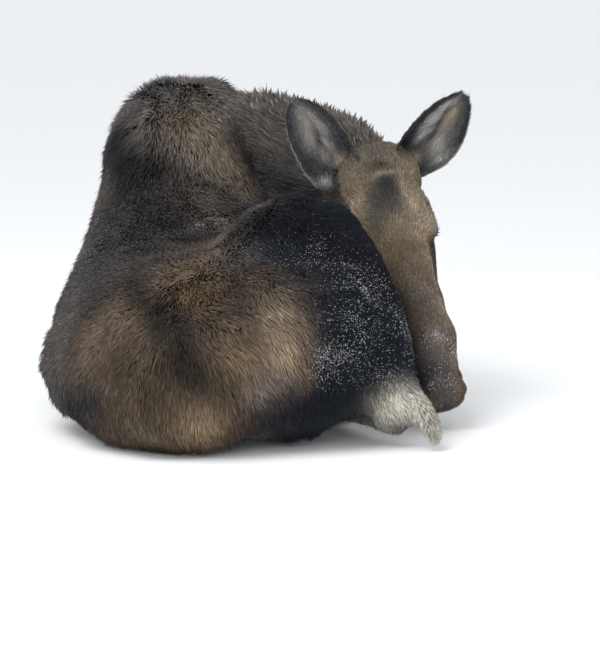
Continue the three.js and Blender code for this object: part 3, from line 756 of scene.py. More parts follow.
def build_body():
    """The skin of all but the ears, with a finer mesh on the face and round the eyes and nostrils."""
    eyeballs = ("eye_left", "eye_right")
    body = joined([closed_copy(n, SWELL) for n in BODY_FLESH] + [closed_copy(n, 0) for n in eyeballs], "skin")
    apply_modifier(body, "REMESH", mode="VOXEL", voxel_size=BODY_VOXEL)
    body = keep_largest(body)
    mesh = body.data
    parts = part_of(places(mesh))
    full = np.isin(parts, [FLESH.index(n) for n in FULL]) * 1.0
    full[parts == FLESH.index("shank_right")] = 0.5
    full = spread(full[:, None], edge_ends(mesh), 5)[:, 0]
    smooth(mesh, 12, full)
    fill_creases(mesh, CREASE_ROUNDS, full)
    for place, reach in PADDED:
        fill_creases(mesh, PADDED_ROUNDS, full * nearness(places(mesh), place, reach))
    smooth(mesh, 30, full)
    for place, reach, height in LEANER:
        sink = height * MM * full * nearness(places(mesh), place, reach)
        put_places(mesh, places(mesh) - normals(mesh) * sink[:, None])
    refine(body, on_face(parts))
    face = on_face(part_of(places(mesh)))
    smooth(mesh, 20, np.where(face, 0.8, 0.35))
    refine_openings(body, *FINER[0])
    parts = part_of(places(mesh))
    smooth(mesh, 3, on_face(parts).astype(float))
    depth = spread(from_table(parts, 0)[:, None], edge_ends(mesh), 14)
    put_places(mesh, places(mesh) - normals(mesh) * (depth + SWELL))
    refine_openings(body, *FINER[1])
    shape_head(mesh, part_of(places(mesh)))
    smooth(mesh, 1, on_face(part_of(places(mesh))) * 0.5)
    return body


def build_ears():
    """The skin of both ears, thin and with a finer mesh."""
    ears = joined([closed_copy(n, 0) for n in EAR_ENDS], "ears")
    apply_modifier(ears, "REMESH", mode="VOXEL", voxel_size=EAR_VOXEL)
    smooth(ears.data, 8)
    depth = coat_of("ear_left")[0] * MM
    put_places(ears.data, places(ears.data) - normals(ears.data) * depth)
    return ears


def build_skin():
    """The whole skin as one piece."""
    skin = joined([build_body(), build_ears()], "skin")
    points = places(skin.data)
    points[:, 2] = np.maximum(points[:, 2], LOWEST)
    put_places(skin.data, points)
    only(skin)
    bpy.ops.object.shade_smooth()
    return skin


# ---------------------------------------------------------------- colour
def tinted(colour, amount, paint):
    """Colours moved towards a paint by an amount of 0 to 1 each."""
    return colour + amount[:, None] * (np.array(paint) - colour)


def markings_at(points, parts, ends):
    """The coat's colour at each vertex: its part's own, run softly into the next part's, and the markings."""
    base = np.array([BASE.get(n, LEG_COLOUR) for n in FLESH])
    colour = spread(base[parts], ends, 70)
    face = on_face(parts)
    for place, reach, paint, strength in MARKINGS:
        colour = tinted(colour, strength * nearness(points, place, reach) * ~face, paint)
    for place, reach, paint, strength in HEAD_MARKINGS:
        colour = tinted(colour, strength * nearness_on_head(points, place, reach) * face, paint)
    for side in SIDES:
        far = np.linalg.norm(points - np.array(eye_axes(side)[0]), axis=1)
        rim = fall(np.maximum(far - 0.024, 0) / 0.010)
        colour = tinted(colour, 0.85 * rim, np.array(DARK_BROWN) * 0.6)
        ring, here = nostril_ring(points, side, 0.036, 0.016)
        colour = tinted(colour, 0.92 * (fall(ring / 1.3) * here), BLACK)
    return tinted(colour, 0.9 * lip_line(points, LIP_BREADTH) * face, BLACK)


def ear_place(points, node):
    """On an ear: the share of its length, the place across it towards its outer edge, and the ways of both
    its opening and that edge."""
    root, tip, facing = (np.array(v) for v in EAR_ENDS[node])
    length = tip - root
    along = (points - root) @ length / (length @ length)
    facing = unit((facing - length * (facing @ length) / (length @ length))[None])[0]
    across = np.cross(unit(length[None])[0], facing) * (1 if node == "ear_left" else -1)
    return along, (points - root) @ across, facing, across


def ear_share(points, node):
    """On an ear: the share of its length, and the share across it, -1 at its inner edge, 1 at its outer."""
    along, wide, _, _ = ear_place(points, node)
    shares, inner, outer = np.array(EAR_OUTLINE[node]).T
    edge = np.where(wide < 0, np.interp(along, shares, inner), np.interp(along, shares, outer))
    return along, wide / (edge * MM)


def ear_inside(points, turned, node):
    """Whether each point is on the hollow face of the ear."""
    along, _, facing, _ = ear_place(points, node)
    root, tip, _ = (np.array(v) for v in EAR_ENDS[node])
    axis = root + along[:, None] * (tip - root) + facing * 0.045
    return (unit(axis - points) * turned).sum(1) > 0.2


# Within the hollow of an ear: share of its length and place across it, reach of both, colour and strength.
EAR_MARKINGS = {
    "ear_right": [
        ((0.80, 0.02), (0.16, 0.42), (0.230, 0.217, 0.192), 0.9),
        ((0.62, 0.10), (0.12, 0.28), (0.312, 0.300, 0.277), 0.9),
        ((0.50, 0.34), (0.12, 0.20), (0.335, 0.324, 0.298), 0.9),
        ((0.72, -0.34), (0.10, 0.12), (0.347, 0.338, 0.310), 0.8),
        ((0.56, -0.40), (0.10, 0.13), (0.394, 0.384, 0.352), 0.9),
        ((0.40, -0.24), (0.09, 0.16), (0.415, 0.401, 0.359), 0.9),
        ((0.32, 0.12), (0.07, 0.16), (0.346, 0.332, 0.299), 0.8),
        ((0.60, 0.08), (0.07, 0.10), (0.244, 0.188, 0.141), 0.6),
        ((0.53, -0.10), (0.06, 0.09), (0.018, 0.018, 0.020), 0.95),
        ((0.45, 0.00), (0.06, 0.10), (0.018, 0.018, 0.020), 0.95),
        ((0.34, 0.62), (0.09, 0.22), (0.034, 0.034, 0.037), 0.9),
        ((0.24, 0.30), (0.05, 0.30), (0.040, 0.040, 0.042), 0.8),
        ((0.20, -0.32), (0.06, 0.26), (0.399, 0.311, 0.226), 0.95),
        ((0.12, 0.60), (0.05, 0.28), (0.347, 0.338, 0.312), 0.9),
    ],
    "ear_left": [
        ((0.58, 0.10), (0.24, 0.44), (0.314, 0.287, 0.247), 0.9),
        ((0.67, 0.14), (0.10, 0.18), (0.436, 0.338, 0.246), 0.8),
        ((0.34, 0.36), (0.10, 0.34), (0.441, 0.431, 0.399), 0.9),
        ((0.26, 0.72), (0.08, 0.16), (0.410, 0.401, 0.374), 0.8),
        ((0.34, -0.40), (0.08, 0.13), (0.620, 0.620, 0.618), 0.95),
        ((0.50, -0.52), (0.11, 0.12), (0.620, 0.620, 0.620), 0.95),
        ((0.70, -0.50), (0.12, 0.13), (0.620, 0.620, 0.587), 0.9),
        ((0.84, -0.26), (0.08, 0.20), (0.498, 0.473, 0.418), 0.8),
        ((0.40, -0.02), (0.06, 0.12), (0.020, 0.020, 0.022), 0.9),
        ((0.52, -0.14), (0.07, 0.10), (0.018, 0.018, 0.020), 0.95),
        ((0.64, -0.26), (0.06, 0.09), (0.022, 0.022, 0.024), 0.9),
        ((0.76, 0.62), (0.18, 0.22), (0.070, 0.064, 0.058), 0.8),
        ((0.17, -0.78), (0.12, 0.34), (0.010, 0.011, 0.014), 1.0),
        ((0.12, -0.02), (0.05, 0.26), (0.523, 0.403, 0.296), 0.95),
        ((0.05, 0.60), (0.03, 0.30), (0.040, 0.038, 0.040), 0.8),
    ],
}
EAR_DARK = (0.030, 0.031, 0.035)
EAR_RIM = {"ear_right": 0.18, "ear_left": 0.42}  # the share of its length where its outer rim turns dark


def paint_ears(colour, points, turned, parts):
    """Lays the ears' own colours over the rest: dark backs and rims, pale edges, and the marked hollows."""
    for node in EAR_ENDS:
        mine = parts == FLESH.index(node)
        inside = ear_inside(points[mine], turned[mine], node)
        along, across = ear_share(points[mine], node)
        hollow = np.tile(np.array(EAR_DARK) * 1.6, (len(along), 1))
        for (t, w), (reach, breadth), paint, strength in EAR_MARKINGS[node]:
            near = strength * np.exp(-((along - t) / reach) ** 2 - ((across - w) / breadth) ** 2)
            hollow = tinted(hollow, near, paint)
        start = np.where(across < 0, EAR_RIM["ear_right"], EAR_RIM[node])
        rim = np.clip((np.abs(across) - 0.68) / 0.12, 0, 1) * np.clip((along - start) / 0.1, 0, 1)
        hollow = tinted(hollow, rim, EAR_DARK)
        hollow = tinted(hollow, fall(np.abs(across - 1.0) / 0.07) * 0.7, PALE_GREY)
        back = np.tile(np.array(GREY_BROWN), (len(along), 1))
        back = tinted(back, fall(np.abs(across - 1.0) / 0.10) * 0.9, PALE_GREY)
        colour[mine] = np.where(inside[:, None], hollow, back)
    return colour


def put_colour(mesh, colour):
    """Keeps a colour for each vertex, for the material to read."""
    layer = mesh.color_attributes.new("coat_colour", "FLOAT_COLOR", "POINT")
    full = np.concatenate([np.clip(colour, 0, 1), np.ones((len(colour), 1))], 1)
    layer.data.foreach_set("color", full.astype(np.float32).ravel())


# ---------------------------------------------------------------- the lie of the hair
def lie_of(points, turned, parts, ends):
    """The way the hair lies at each vertex: the nearest strokes of its part, evened out and laid flat."""
    lie = np.zeros_like(points)
    for index, node in enumerate(FLESH):
        mine = parts == index
        total = np.zeros((mine.sum(), 3))
        for place, way in FLOW[node]:
            way = unit(np.array([way], float))
            if place is None:
                total += way
            else:
                gap = np.linalg.norm(points[mine] - np.array(spot(*place)), axis=1)
                total += way / (gap[:, None] ** 3 + 1e-5)
        lie[mine] = unit(total)
    return laid_flat(spread(lie, ends, 22), turned)


def drift(count, ends, rounds):
    """A smooth random field over the skin, three values a vertex, each about -1 to 1."""
    field = spread(rng.normal(size=(count, 3)), ends, rounds)
    return field / field.std(0)


# ---------------------------------------------------------------- tufts
PATCH = 0.0015  # half the width of a tuft's patch on the unwrap
FLOOR_GAP = 0.0006  # no hair comes nearer to the floor than this
SUNK = 0.3  # how deep a blade's root lies in the skin, in its widths
# The crown of a blade: the share of its length and of its rise, and how far it stands above that in widths.
CROWN_ALONG, CROWN_RISE, CROWN_THICK = 0.42, 0.55, 0.35
BLADE_PAINTED_LIGHT = (0.45, 0.45, 0.95, 1.45)  # painted shade at the root, deep in the coat, and a painted highlight at the tip
FROSTED_END = 0.0015  # the swollen end of a frosted hair


def build_mesh(name, points, faces, corner_uv, colour):
    """A mesh from arrays of triangles, with its unwrap and colours."""
    mesh = bpy.data.meshes.new(name)
    mesh.vertices.add(len(points))
    mesh.vertices.foreach_set("co", points.astype(np.float32).ravel())
    mesh.loops.add(faces.size)
    mesh.loops.foreach_set("vertex_index", faces.astype(np.int32).ravel())
    mesh.polygons.add(len(faces))
    mesh.polygons.foreach_set("loop_start", np.arange(0, faces.size, 3, dtype=np.int32))
    mesh.update(calc_edges=True)
    layer = mesh.uv_layers.new(name="OFBake")
    layer.data.foreach_set("uv", corner_uv[faces.ravel()].astype(np.float32).ravel())
    put_colour(mesh, colour)
    piece = bpy.data.objects.new(name, mesh)
    bpy.context.scene.collection.objects.link(piece)
    return piece


def blades(roots, up, lie, length, width, rise, colour, uv):
    """Thin closed blades: two corners at the root, a low ridge, a tip. Returns points, faces, uv, colour."""
    across = np.cross(lie, up)
    along = length[:, None]
    crown = roots + lie * along * CROWN_ALONG + up * (rise * CROWN_RISE)[:, None]
    crown = crown + up * (width * CROWN_THICK)[:, None]
    reach = np.sqrt(np.maximum(1 - (rise / length) ** 2, 0.1))[:, None]
    tip = roots + lie * along * reach + up * rise[:, None]
    low = roots - up * (width * SUNK)[:, None]
    half = across * (width / 2)[:, None]
    points = np.stack([low - half, low + half, crown, tip], 1).reshape(-1, 3)
    points[:, 2] = np.maximum(points[:, 2], FLOOR_GAP)
    first = np.arange(len(roots))[:, None, None] * 4
    faces = (first + np.array([[0, 2, 3], [1, 3, 2], [0, 1, 2], [0, 3, 1]])[None]).reshape(-1, 3)
    corner = np.array([[-1, -1], [1, -1], [0, 0], [0, 1]]) * PATCH
    uv = (uv[:, None] + corner[None]).reshape(-1, 2)
    # each blade's colour carries painted shade at its root and a painted highlight at its tip
    colour = (colour[:, None] * np.array(BLADE_PAINTED_LIGHT)[None, :, None]).reshape(-1, 3)
    return points, faces, uv, colour


def rods(rings, shades, uv):
    """Closed three-sided rods, from the corners of their rings. Returns points, faces, uv, colour."""
    points = np.stack(rings, 1).reshape(-1, 3)
    stations = len(rings) // 3
    sides = []
    for ring in range(stations - 1):
        for k in range(3):
            a, b = ring * 3 + k, ring * 3 + (k + 1) % 3
            sides += [[a, b + 3, b], [a, a + 3, b + 3]]
    last = 3 * (stations - 1)
    sides += [[0, 1, 2], [last, last + 2, last + 1]]
    first = np.arange(len(uv))[:, None, None] * 3 * stations
    faces = (first + np.array(sides)[None]).reshape(-1, 3)
    turn = np.tile([[-1, -1], [1, -1], [0, 1]], (stations, 1)) * PATCH
    return points, faces, (uv[:, None] + turn[None]).reshape(-1, 2), np.stack(shades, 1).reshape(-1, 3)


RING = [math.radians(a) for a in (90, 210, 330)]  # the corners of a rod's ring


def frosted(roots, up, lie, length, width, rise, uv, stem, pale):
    """Guard hairs with a swollen pale tip, each a thin rod that widens near its end."""
    across = np.cross(lie, up)
    run = lie * np.sqrt(np.maximum(length ** 2 - rise ** 2, 1e-8))[:, None]
    tip = np.clip(FROSTED_END / length, 0.03, 0.3)
    # each ring: its share of the length back from the end, its width, its colour
    stations = (
        (1 + 0 * tip, 0.4, stem), (1.5 * tip, 0.35, stem),
        (0.8 * tip, 1.0, pale), (0 * tip, 0.25, pale),
    )
    rings, shades = [], []
    for from_end, wide, shade in stations:
        share = 1 - from_end
        centre = roots + run * share[:, None] + up * (rise * share ** 0.8)[:, None]
        for turn in RING:
            side = across * math.cos(turn) + up * math.sin(turn)
            rings.append(centre + side * (width * wide / 2)[:, None])
            shades.append(shade)
    points, *rest = rods(rings, shades, uv)
    points[:, 2] = np.maximum(points[:, 2], FLOOR_GAP)
    return points, *rest


class Skin:
    """What the tufts need to know of the skin, as arrays over its vertices and triangles."""

    def __init__(self, piece):
        mesh = piece.data
        self.points, self.up, self.ends = places(mesh), normals(mesh), edge_ends(mesh)
        self.parts = part_of(self.points)
        mesh.calc_loop_triangles()
        self.corners = read(mesh.loop_triangles, "vertices", 3, np.int32)
        loops = read(mesh.loop_triangles, "loops", 3, np.int32)
        self.uv = read(mesh.uv_layers["OFBake"].data, "uv", 2)[loops]
        a, b, c = (self.points[self.corners[:, k]] for k in range(3))
        self.area = np.linalg.norm(np.cross(b - a, c - a), axis=1) / 2
        self.lie = lie_of(self.points, self.up, self.parts, self.ends)
        colour = markings_at(self.points, self.parts, self.ends)
        self.colour = paint_ears(colour, self.points, self.up, self.parts)
        self.depth, self.length, self.width, self.space = (
            spread(from_table(self.parts, k)[:, None], self.ends, 24)[:, 0] for k in range(4)
        )
        self.calm = np.linalg.norm(spread(self.lie, self.ends, 10), axis=1).clip(0.3, 1)  # low in a whorl
        self.drift = drift(len(self.points), self.ends, 10)
        self.patchy = drift(len(self.points), self.ends, 60)

    def scatter(self, weight):
        """Roots spread evenly over the skin: their triangles and their shares of its corners."""
        dense = (weight / self.space ** 2)[self.corners].mean(1) * self.area
        total = int(dense.sum())
        steps = (np.arange(total) + rng.random(total)) / total
        chosen = np.searchsorted(np.cumsum(dense) / dense.sum(), steps).clip(0, len(dense) - 1)
        u, v = rng.random(total), rng.random(total)
        over = u + v > 1
        u[over], v[over] = 1 - u[over], 1 - v[over]
        return chosen, np.stack([1 - u - v, u, v], 1)

    def at(self, values, chosen, share):
        """A vertex's value or vector, at each of these roots."""
        picked = values[self.corners[chosen]]
        return (picked * (share if picked.ndim == 2 else share[:, :, None])).sum(1)

    def ground(self, chosen, share):
        """The place of each of these roots, the way out from the skin, and the place on the unwrap."""
        uv = (self.uv[chosen] * share[:, :, None]).sum(1)
        return self.at(self.points, chosen, share), unit(self.at(self.up, chosen, share)), uv


GROUPS = {
    "coat_rump": ("rump", "tail"),
    "coat_back": ("barrel",),
    "coat_chest": ("chest", "shoulder_left"),
    "coat_hump": ("hump", "shoulder_right"),
    "coat_neck": ("neck", "bell"),
    "coat_haunch": ("thigh_right", "thigh_left"),
    "coat_head": ("head", "lower_jaw"),
    "coat_ears": ("ear_right", "ear_left"),
    "coat_legs": tuple(FLESH),  # all that is left
}
MOST_TUFTS = 48000  # in one piece
SHORT_HAIR = 0.013
PRESSED = 0.035  # under the body and below this height, its weight presses the coat flat
LID_BARE = 0.0045  # how far beyond the eyeball no hair grows
STRAYS, STRAY_DEPTH = 0.10, 0.014  # the share of tufts that stand out, where the coat is deeper than this
EAR_HAIR_SPACE = 0.0030


def bare_places(skin):
    """How thickly hair grows: none round the eyeballs and inside the nostrils, thin between the lips and
    where the body's weight presses it flat."""
    weight = np.where((skin.points[:, 2] < PRESSED) & (skin.up[:, 2] < -0.6), 0.35, 1.0)
    for side in SIDES:
        far = np.linalg.norm(skin.points - np.array(eye_axes(side)[0]), axis=1)
        weight[far < EYE_RADIUS + LID_BARE] = 0
        ring, here = nostril_ring(skin.points, side, 0.033, 0.012)
        weight[(ring < 1.05) & here] = 0
    weight[on_face(skin.parts) & (lip_line(skin.points, 0.006) > 0.5)] = 0.2
    return weight


def crowding(points):
    """How much closer the short hair stands round the eyes and nostrils."""
    return 1 + 2.2 * fall((from_openings(points, eye_axes, nostril_axes) - 0.022) / 0.030)


def plant(name, made):
    """Makes a piece of the coat from its arrays, and hands it over."""
    piece = build_mesh(name, *made)
    hand_over(piece, COAT_PAINT)
    return piece


def grow_coat(skin):
    """The tufts of the whole coat, a piece or two for each region of the body."""
    chosen, share = skin.scatter(bare_places(skin) * crowding(skin.points))
    count = len(chosen)
    roots, up, uv = skin.ground(chosen, share)
    depth = skin.at(skin.depth, chosen, share)
    part = skin.parts[skin.corners[chosen][:, 0]]
    wander = skin.at(skin.drift, chosen, share) * 0.16 + rng.normal(size=(count, 3)) * 0.10
    lie = laid_flat(skin.at(skin.lie, chosen, share) + wander, up)
    short = np.clip((from_openings(roots, eye_axes, nostril_axes) - 0.020) / 0.035, 0.38, 1)
    length = skin.at(skin.length, chosen, share) * rng.uniform(0.75, 1.2, count) * short
    width = skin.at(skin.width, chosen, share) * rng.uniform(0.7, 1.25, count)
    rise = depth * rng.uniform(0.55, 1.12, count) * short
    stray = (rng.random(count) < STRAYS) & (depth > STRAY_DEPTH)
    rise, width = rise * np.where(stray, 1.4, 1.0), width * np.where(stray, 0.6, 1.0)
    calm = np.where(on_face(skin.parts), np.maximum(skin.calm, 0.85), skin.calm)
    calm = skin.at(calm, chosen, share)
    rise = np.minimum(rise, length * 0.75) * calm ** 1.5
    length = length * np.clip(calm / 0.7, 0.5, 1)
    # a ruff of fine hair stands along the top of the neck
    ruff = (part == FLESH.index("neck")) * np.clip((up[:, 2] - 0.5) / 0.3, 0, 1)
    rise, width = rise * (1 + 0.4 * ruff), width * (1 - 0.45 * ruff)
    uneven = np.where(length < SHORT_HAIR, 0.44, 0.36)
    tone = np.exp(rng.normal(size=count) * uneven + skin.at(skin.patchy, chosen, share)[:, 0] * 0.12)
    colour = skin.at(skin.colour, chosen, share) * np.clip(tone, 0.35, 2.4)[:, None]
    taken = np.zeros(count, bool)
    for name, members in GROUPS.items():
        mine = np.isin(part, [FLESH.index(n) for n in members]) & ~taken
        taken |= mine
        index = np.flatnonzero(mine)
        index = index[np.argsort(roots[index, 1], kind="stable")]
        pieces = max(1, math.ceil(len(index) / MOST_TUFTS))
        for k, some in enumerate(np.array_split(index, pieces)):
            made = blades(*(v[some] for v in (roots, up, lie, length, width, rise, colour, uv)))
            plant(name if pieces == 1 else f"{name}_{k + 1}", made)


# Where the guard hairs carry pale frosted tips: place, reach (millimetres), share of the hair.
FROST = [
    ((115, 230, 390), (60, 80, 46), 0.42),
    ((105, 140, 310), (50, 60, 60), 1.0),
    ((50, 125, 245), (40, 50, 50), 0.8),
    ((165, 330, 385), (60, 90, 60), 0.22),
    ((190, 220, 230), (50, 70, 80), 0.28),
    ((10, 300, 440), (70, 90, 60), 0.15),
    ((140, 220, 280), (130, 130, 150), 0.16),
]
FINE_FROST = [
    ((-330, 900, 550), (190, 110, 50), 1.0),
    ((-130, 960, 530), (110, 100, 60), 1.0),
    ((-450, 780, 440), (110, 260, 110), 0.8),
    ((-300, 600, 470), (170, 230, 60), 0.6),
    ((-560, 480, 320), (50, 160, 110), 0.7),
    ((-60, 1060, 570), (60, 60, 60), 0.2),
    ((40, 300, 420), (150, 150, 110), 0.4),
    ((110, 200, 280), (130, 130, 140), 0.6),
    ((252, 350, 300), (30, 60, 80), 1.6),
    ((-230, 150, 400), (300, 200, 60), 0.15),
]
FACE_FROST = [
    ((0.785, 72, 16), (15, 40, 22), 0.8),
    ((0.795, 46, 44), (12, 30, 14), 0.6),
    ((0.835, 35, 47), (12, 30, 12), 0.8),
    ((0.900, 66, 4), (18, 40, 16), 0.5),
    ((0.935, 58, 14), (14, 40, 16), 0.8),
    ((0.940, 62, -12), (14, 40, 14), 0.6),
]


def frost_over(skin, patches, face_patches, least, space):
    """How thickly frosted hairs stand at each vertex, for a space between them at their thickest."""
    weight = np.full(len(skin.points), least)
    for place, reach, amount in patches:
        weight = np.maximum(weight, amount * nearness(skin.points, place, reach))
    face = on_face(skin.parts)
    weight[face] = least * 0.4
    for place, reach, amount in face_patches:
        thicker = np.maximum(weight, amount * nearness_on_head(skin.points, place, reach))
        weight = np.where(face, thicker, weight)
    weight *= bare_places(skin) * (skin.space / space) ** 2 * np.exp(0.5 * skin.drift[:, 0])
    weight[skin.up[:, 2] < -0.3] = 0
    return weight


def grow_frost(skin, name, weight, thick, glow):
    """Guard hairs with frosted tips, their width and their paleness each drawn from a range."""
    chosen, share = skin.scatter(weight)
    count = len(chosen)
    roots, up, uv = skin.ground(chosen, share)
    lie = laid_flat(skin.at(skin.lie, chosen, share) + rng.normal(size=(count, 3)) * 0.25, up)
    length = skin.at(skin.length, chosen, share) * rng.uniform(0.7, 1.05, count)
    rise = skin.at(skin.depth, chosen, share) * rng.uniform(0.85, 1.10, count) + 0.001
    rise = np.minimum(rise, length * 0.8)
    width = rng.uniform(*thick, count) * np.where(length < SHORT_HAIR, 1.7, 1)
    stem = skin.at(skin.colour, chosen, share)
    pale = rng.uniform(*glow, count)[:, None] * np.array([0.97, 1.0, 1.06])
    plant(name, frosted(roots, up, lie, length, width, rise, uv, stem, pale))


# ---------------------------------------------------------------- long hair: in the ears, and the lashes
def spikes(name, roots, ways, bends, length, width, colour, uv):
    """Long curved hairs as thin cones. Each starts along its way and turns towards its bend."""
    side = unit(np.cross(ways, bends) + 1e-5)
    rings, shades = [], []
    for t in (0, 1 / 3, 2 / 3, 1):
        centre = roots + (ways * t + bends * (t * t * 0.5)) * length[:, None]
        top = unit(np.cross(side, unit(ways + bends * t)))
        thick = width * (1 - 0.92 * t ** 1.5) / 2
        for turn in RING:
            rings.append(centre + (side * math.cos(turn) + top * math.sin(turn)) * thick[:, None])
            # painted shade towards the root and a painted highlight towards the tip
            shades.append(colour * (0.65 + 0.5 * t))
    piece = plant(name, rods(rings, shades, uv))
    edit_all(piece, bpy.ops.mesh.normals_make_consistent, inside=False)


def grow_ear_hair(skin):
    """The long pale hair that grows up the hollow of each ear and leans in from its edges."""
    for node, (root, tip, _) in EAR_ENDS.items():
        mine = skin.parts == FLESH.index(node)
        inside = np.zeros(len(mine), bool)
        inside[mine] = ear_inside(skin.points[mine], skin.up[mine], node)
        along, place = ear_share(skin.points, node)
        _, _, facing, across = ear_place(skin.points, node)
        band = fall((np.abs(place) - 0.35) / 0.45) * fall((np.abs(along - 0.42) - 0.25) / 0.30)
        bright = np.clip(skin.colour.mean(1) / 0.20, 0.12, 1.6)
        thick = (skin.space / EAR_HAIR_SPACE) ** 2
        chosen, share = skin.scatter(inside * band * bright * thick)
        count = len(chosen)
        t, w = skin.at(along, chosen, share), skin.at(place, chosen, share)
        roots, up, uv = skin.ground(chosen, share)
        tip_way = np.array((tip - root).normalized())
        inward = -np.sign(w)[:, None] * across
        lean = rng.uniform(0.1, 0.6, (count, 1)) * np.clip(np.abs(w) / 0.4, 0.2, 1)[:, None]
        low = np.clip((0.35 - t) / 0.25, 0, 1)[:, None]
        ways = up * 0.30 + tip_way + inward * lean * (1 - low) + across * low * (w[:, None] + 0.35) * 0.9
        ways = unit(ways + rng.normal(size=(count, 3)) * 0.12)
        bends = tip_way * 0.3 + facing * -0.20 + rng.normal(size=(count, 3)) * 0.10
        length = rng.uniform(0.016, 0.034, count) * (0.6 + 0.5 * fall(np.abs(t - 0.4) / 0.5))
        tone = np.exp(rng.normal(size=count) * 0.22)
        colour = skin.at(skin.colour, chosen, share) * np.clip(tone, 0.5, 1.6)[:, None]
        width = rng.uniform(0.0009, 0.0014, count)
        spikes(f"{node}_hair", roots - up * 0.001, ways, bends, length, width, colour, uv)


UPPER_LASHES, LOWER_LASHES = 34, 12
LASH_WIDTH = 0.0014


def grow_lashes():
    """Black lashes along the upper lid, longest at its middle, and a few short ones along the lower."""
    for side, name in zip(SIDES, ("lashes_left", "lashes_right")):
        centre, looks, along, across = (np.array(v) for v in eye_axes(side))
        hairs = []
        for k in range(UPPER_LASHES + LOWER_LASHES):
            upper = k < UPPER_LASHES
            if upper:
                a = math.radians(12 + 156 * k / (UPPER_LASHES - 1))
                q = LID_HIGH * 1.12 * math.sin(a) * (1.15 - LID_DROP * math.cos(a) ** 2)
            else:
                a = math.radians(200 + 140 * (k - UPPER_LASHES) / (LOWER_LASHES - 1))
                q = LID_HIGH * 0.95 * math.sin(a)
            p = LID_LONG * 1.05 * math.cos(a)
            out = along * p + across * q + looks * math.sqrt(max(1 - p * p - q * q, 0.05))
            if upper:
                way = looks * 0.9 + across * 0.35 + along * p * 0.5 + rng.normal(size=3) * 0.06
                bend = -looks * 0.15 + across * 0.75
                length = 0.013 + 0.016 * math.sin(a) + rng.uniform(-0.003, 0.003)
            else:
                way = looks * 0.8 - across * 0.5 + along * p * 0.4
                bend = -across * 0.4
                length = rng.uniform(0.005, 0.008)
            hairs.append((centre + out * (EYE_RADIUS + 0.0012), way / np.linalg.norm(way), bend, length))
        roots, ways, bends, length = (np.array(v) for v in zip(*hairs))
        width, colour = np.full(len(hairs), LASH_WIDTH), np.tile(np.array(BLACK), (len(hairs), 1))
        spikes(name, roots, ways, bends, length, width, colour, np.full((len(hairs), 2), 0.5))


# ---------------------------------------------------------------- eyes and hooves
def make_eye(side, name, node):
    """An eyeball with a low cornea, painted from its pupil outwards."""
    centre, looks, along, across = eye_axes(side)
    radius = EYE_RADIUS - 0.0004
    bpy.ops.object.select_all(action="DESELECT")
    bpy.ops.mesh.primitive_uv_sphere_add(segments=48, ring_count=32, radius=radius, location=(0, 0, 0))
    piece = bpy.context.object
    piece.name = piece.data.name = name
    mesh = piece.data
    points = places(mesh)
    ray = unit(points)
    axes = np.array([along, across, looks])
    turned = ray[:, 2:] * axes[2] + ray[:, :1] * axes[0] + ray[:, 1:2] * axes[1]
    bulge = 0.0011 * fall((1 - ray[:, 2]) / 0.16)
    put_places(mesh, np.array(centre) + turned * (radius + bulge)[:, None])
    away = np.arccos(np.clip(ray[:, 2], -1, 1))
    pupil = np.sqrt((ray[:, 0] / 0.36) ** 2 + (ray[:, 1] / 0.20) ** 2)
    iris = np.array((0.020, 0.009, 0.004))
    colour = iris * (0.7 + 0.9 * fall(np.abs(away - 0.45) / 0.3))[:, None]
    colour = np.where((pupil < 1)[:, None], np.array((0.002, 0.002, 0.003)), colour)
    colour = tinted(colour, np.clip((away - 0.82) / 0.16, 0, 1), (0.120, 0.085, 0.070))  # the white
    dark_edge = fall(np.abs(away - 0.80) / 0.12)[:, None]
    put_colour(mesh, colour * (1 - 0.8 * dark_edge))
    if np.linalg.det(axes) < 0:
        edit_all(piece, bpy.ops.mesh.normals_make_consistent, inside=False)
    only(piece)
    bpy.ops.object.shade_smooth()
    hand_over(piece, EYE_PAINT)
    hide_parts(node)


def make_hooves(foot):
    """The claws and dewclaws of one foot, with rounded edges and low growth rings."""
    horn = [n for n in NODES if n.startswith(foot) and "claw" in n]
    piece = joined([closed_copy(n, 0) for n in horn], f"{foot}_hooves")
    apply_modifier(piece, "REMESH", mode="VOXEL", voxel_size=HORN_VOXEL)
    mesh = piece.data
    smooth(mesh, 6)
    points, turned = places(mesh), normals(mesh)
    heading = unit(np.array([middle(f"{foot}_claw_outer") - middle(f"{foot}_pastern")]))[0]
    run = (points - np.array(middle(f"{foot}_pastern"))) @ heading
    wave = np.sin(run / 0.0052 + 1.5 * np.sin(run / 0.021))  # growth rings, unevenly spaced
    ring = wave * 0.00045 * (np.abs(turned @ heading) < 0.8) * (turned[:, 2] > -0.6)
    put_places(mesh, points + turned * (ring - 0.0004)[:, None])
    toe = np.clip((run - 0.06) / 0.09, 0, 1)
    tone = np.array((0.040, 0.034, 0.029)) * (1.0 + 0.8 * toe)[:, None]
    put_colour(mesh, tone * (1 + 0.25 * wave)[:, None])
    only(piece)
    bpy.ops.object.shade_smooth()
    hand_over(piece, HORN_PAINT)
    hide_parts(*horn)


# ---------------------------------------------------------------- materials
def new_material(name, rough, specular):
    paint = bpy.data.materials.new(name)
    paint.use_nodes = True
    shader = paint.node_tree.nodes["Principled BSDF"]
    shader.inputs["Roughness"].default_value = rough
    shader.inputs["Specular IOR Level"].default_value = specular
    return paint, shader


def link(paint, a, b):
    paint.node_tree.links.new(a, b)


def add_node(paint, kind, **values):
    """A node of a material, with these values on its sockets."""
    node = paint.node_tree.nodes.new("ShaderNode" + kind)
    for socket, value in values.items():
        node.inputs[socket].default_value = value
    return node


def painted(name, rough, specular):
    """A material that shows the colour kept for each vertex. Returns it, its shader and the colour's node."""
    paint, shader = new_material(name, rough, specular)
    colour = add_node(paint, "Attribute")
    colour.attribute_name = "coat_colour"
    link(paint, colour.outputs["Color"], shader.inputs["Base Color"])
    return paint, shader, colour


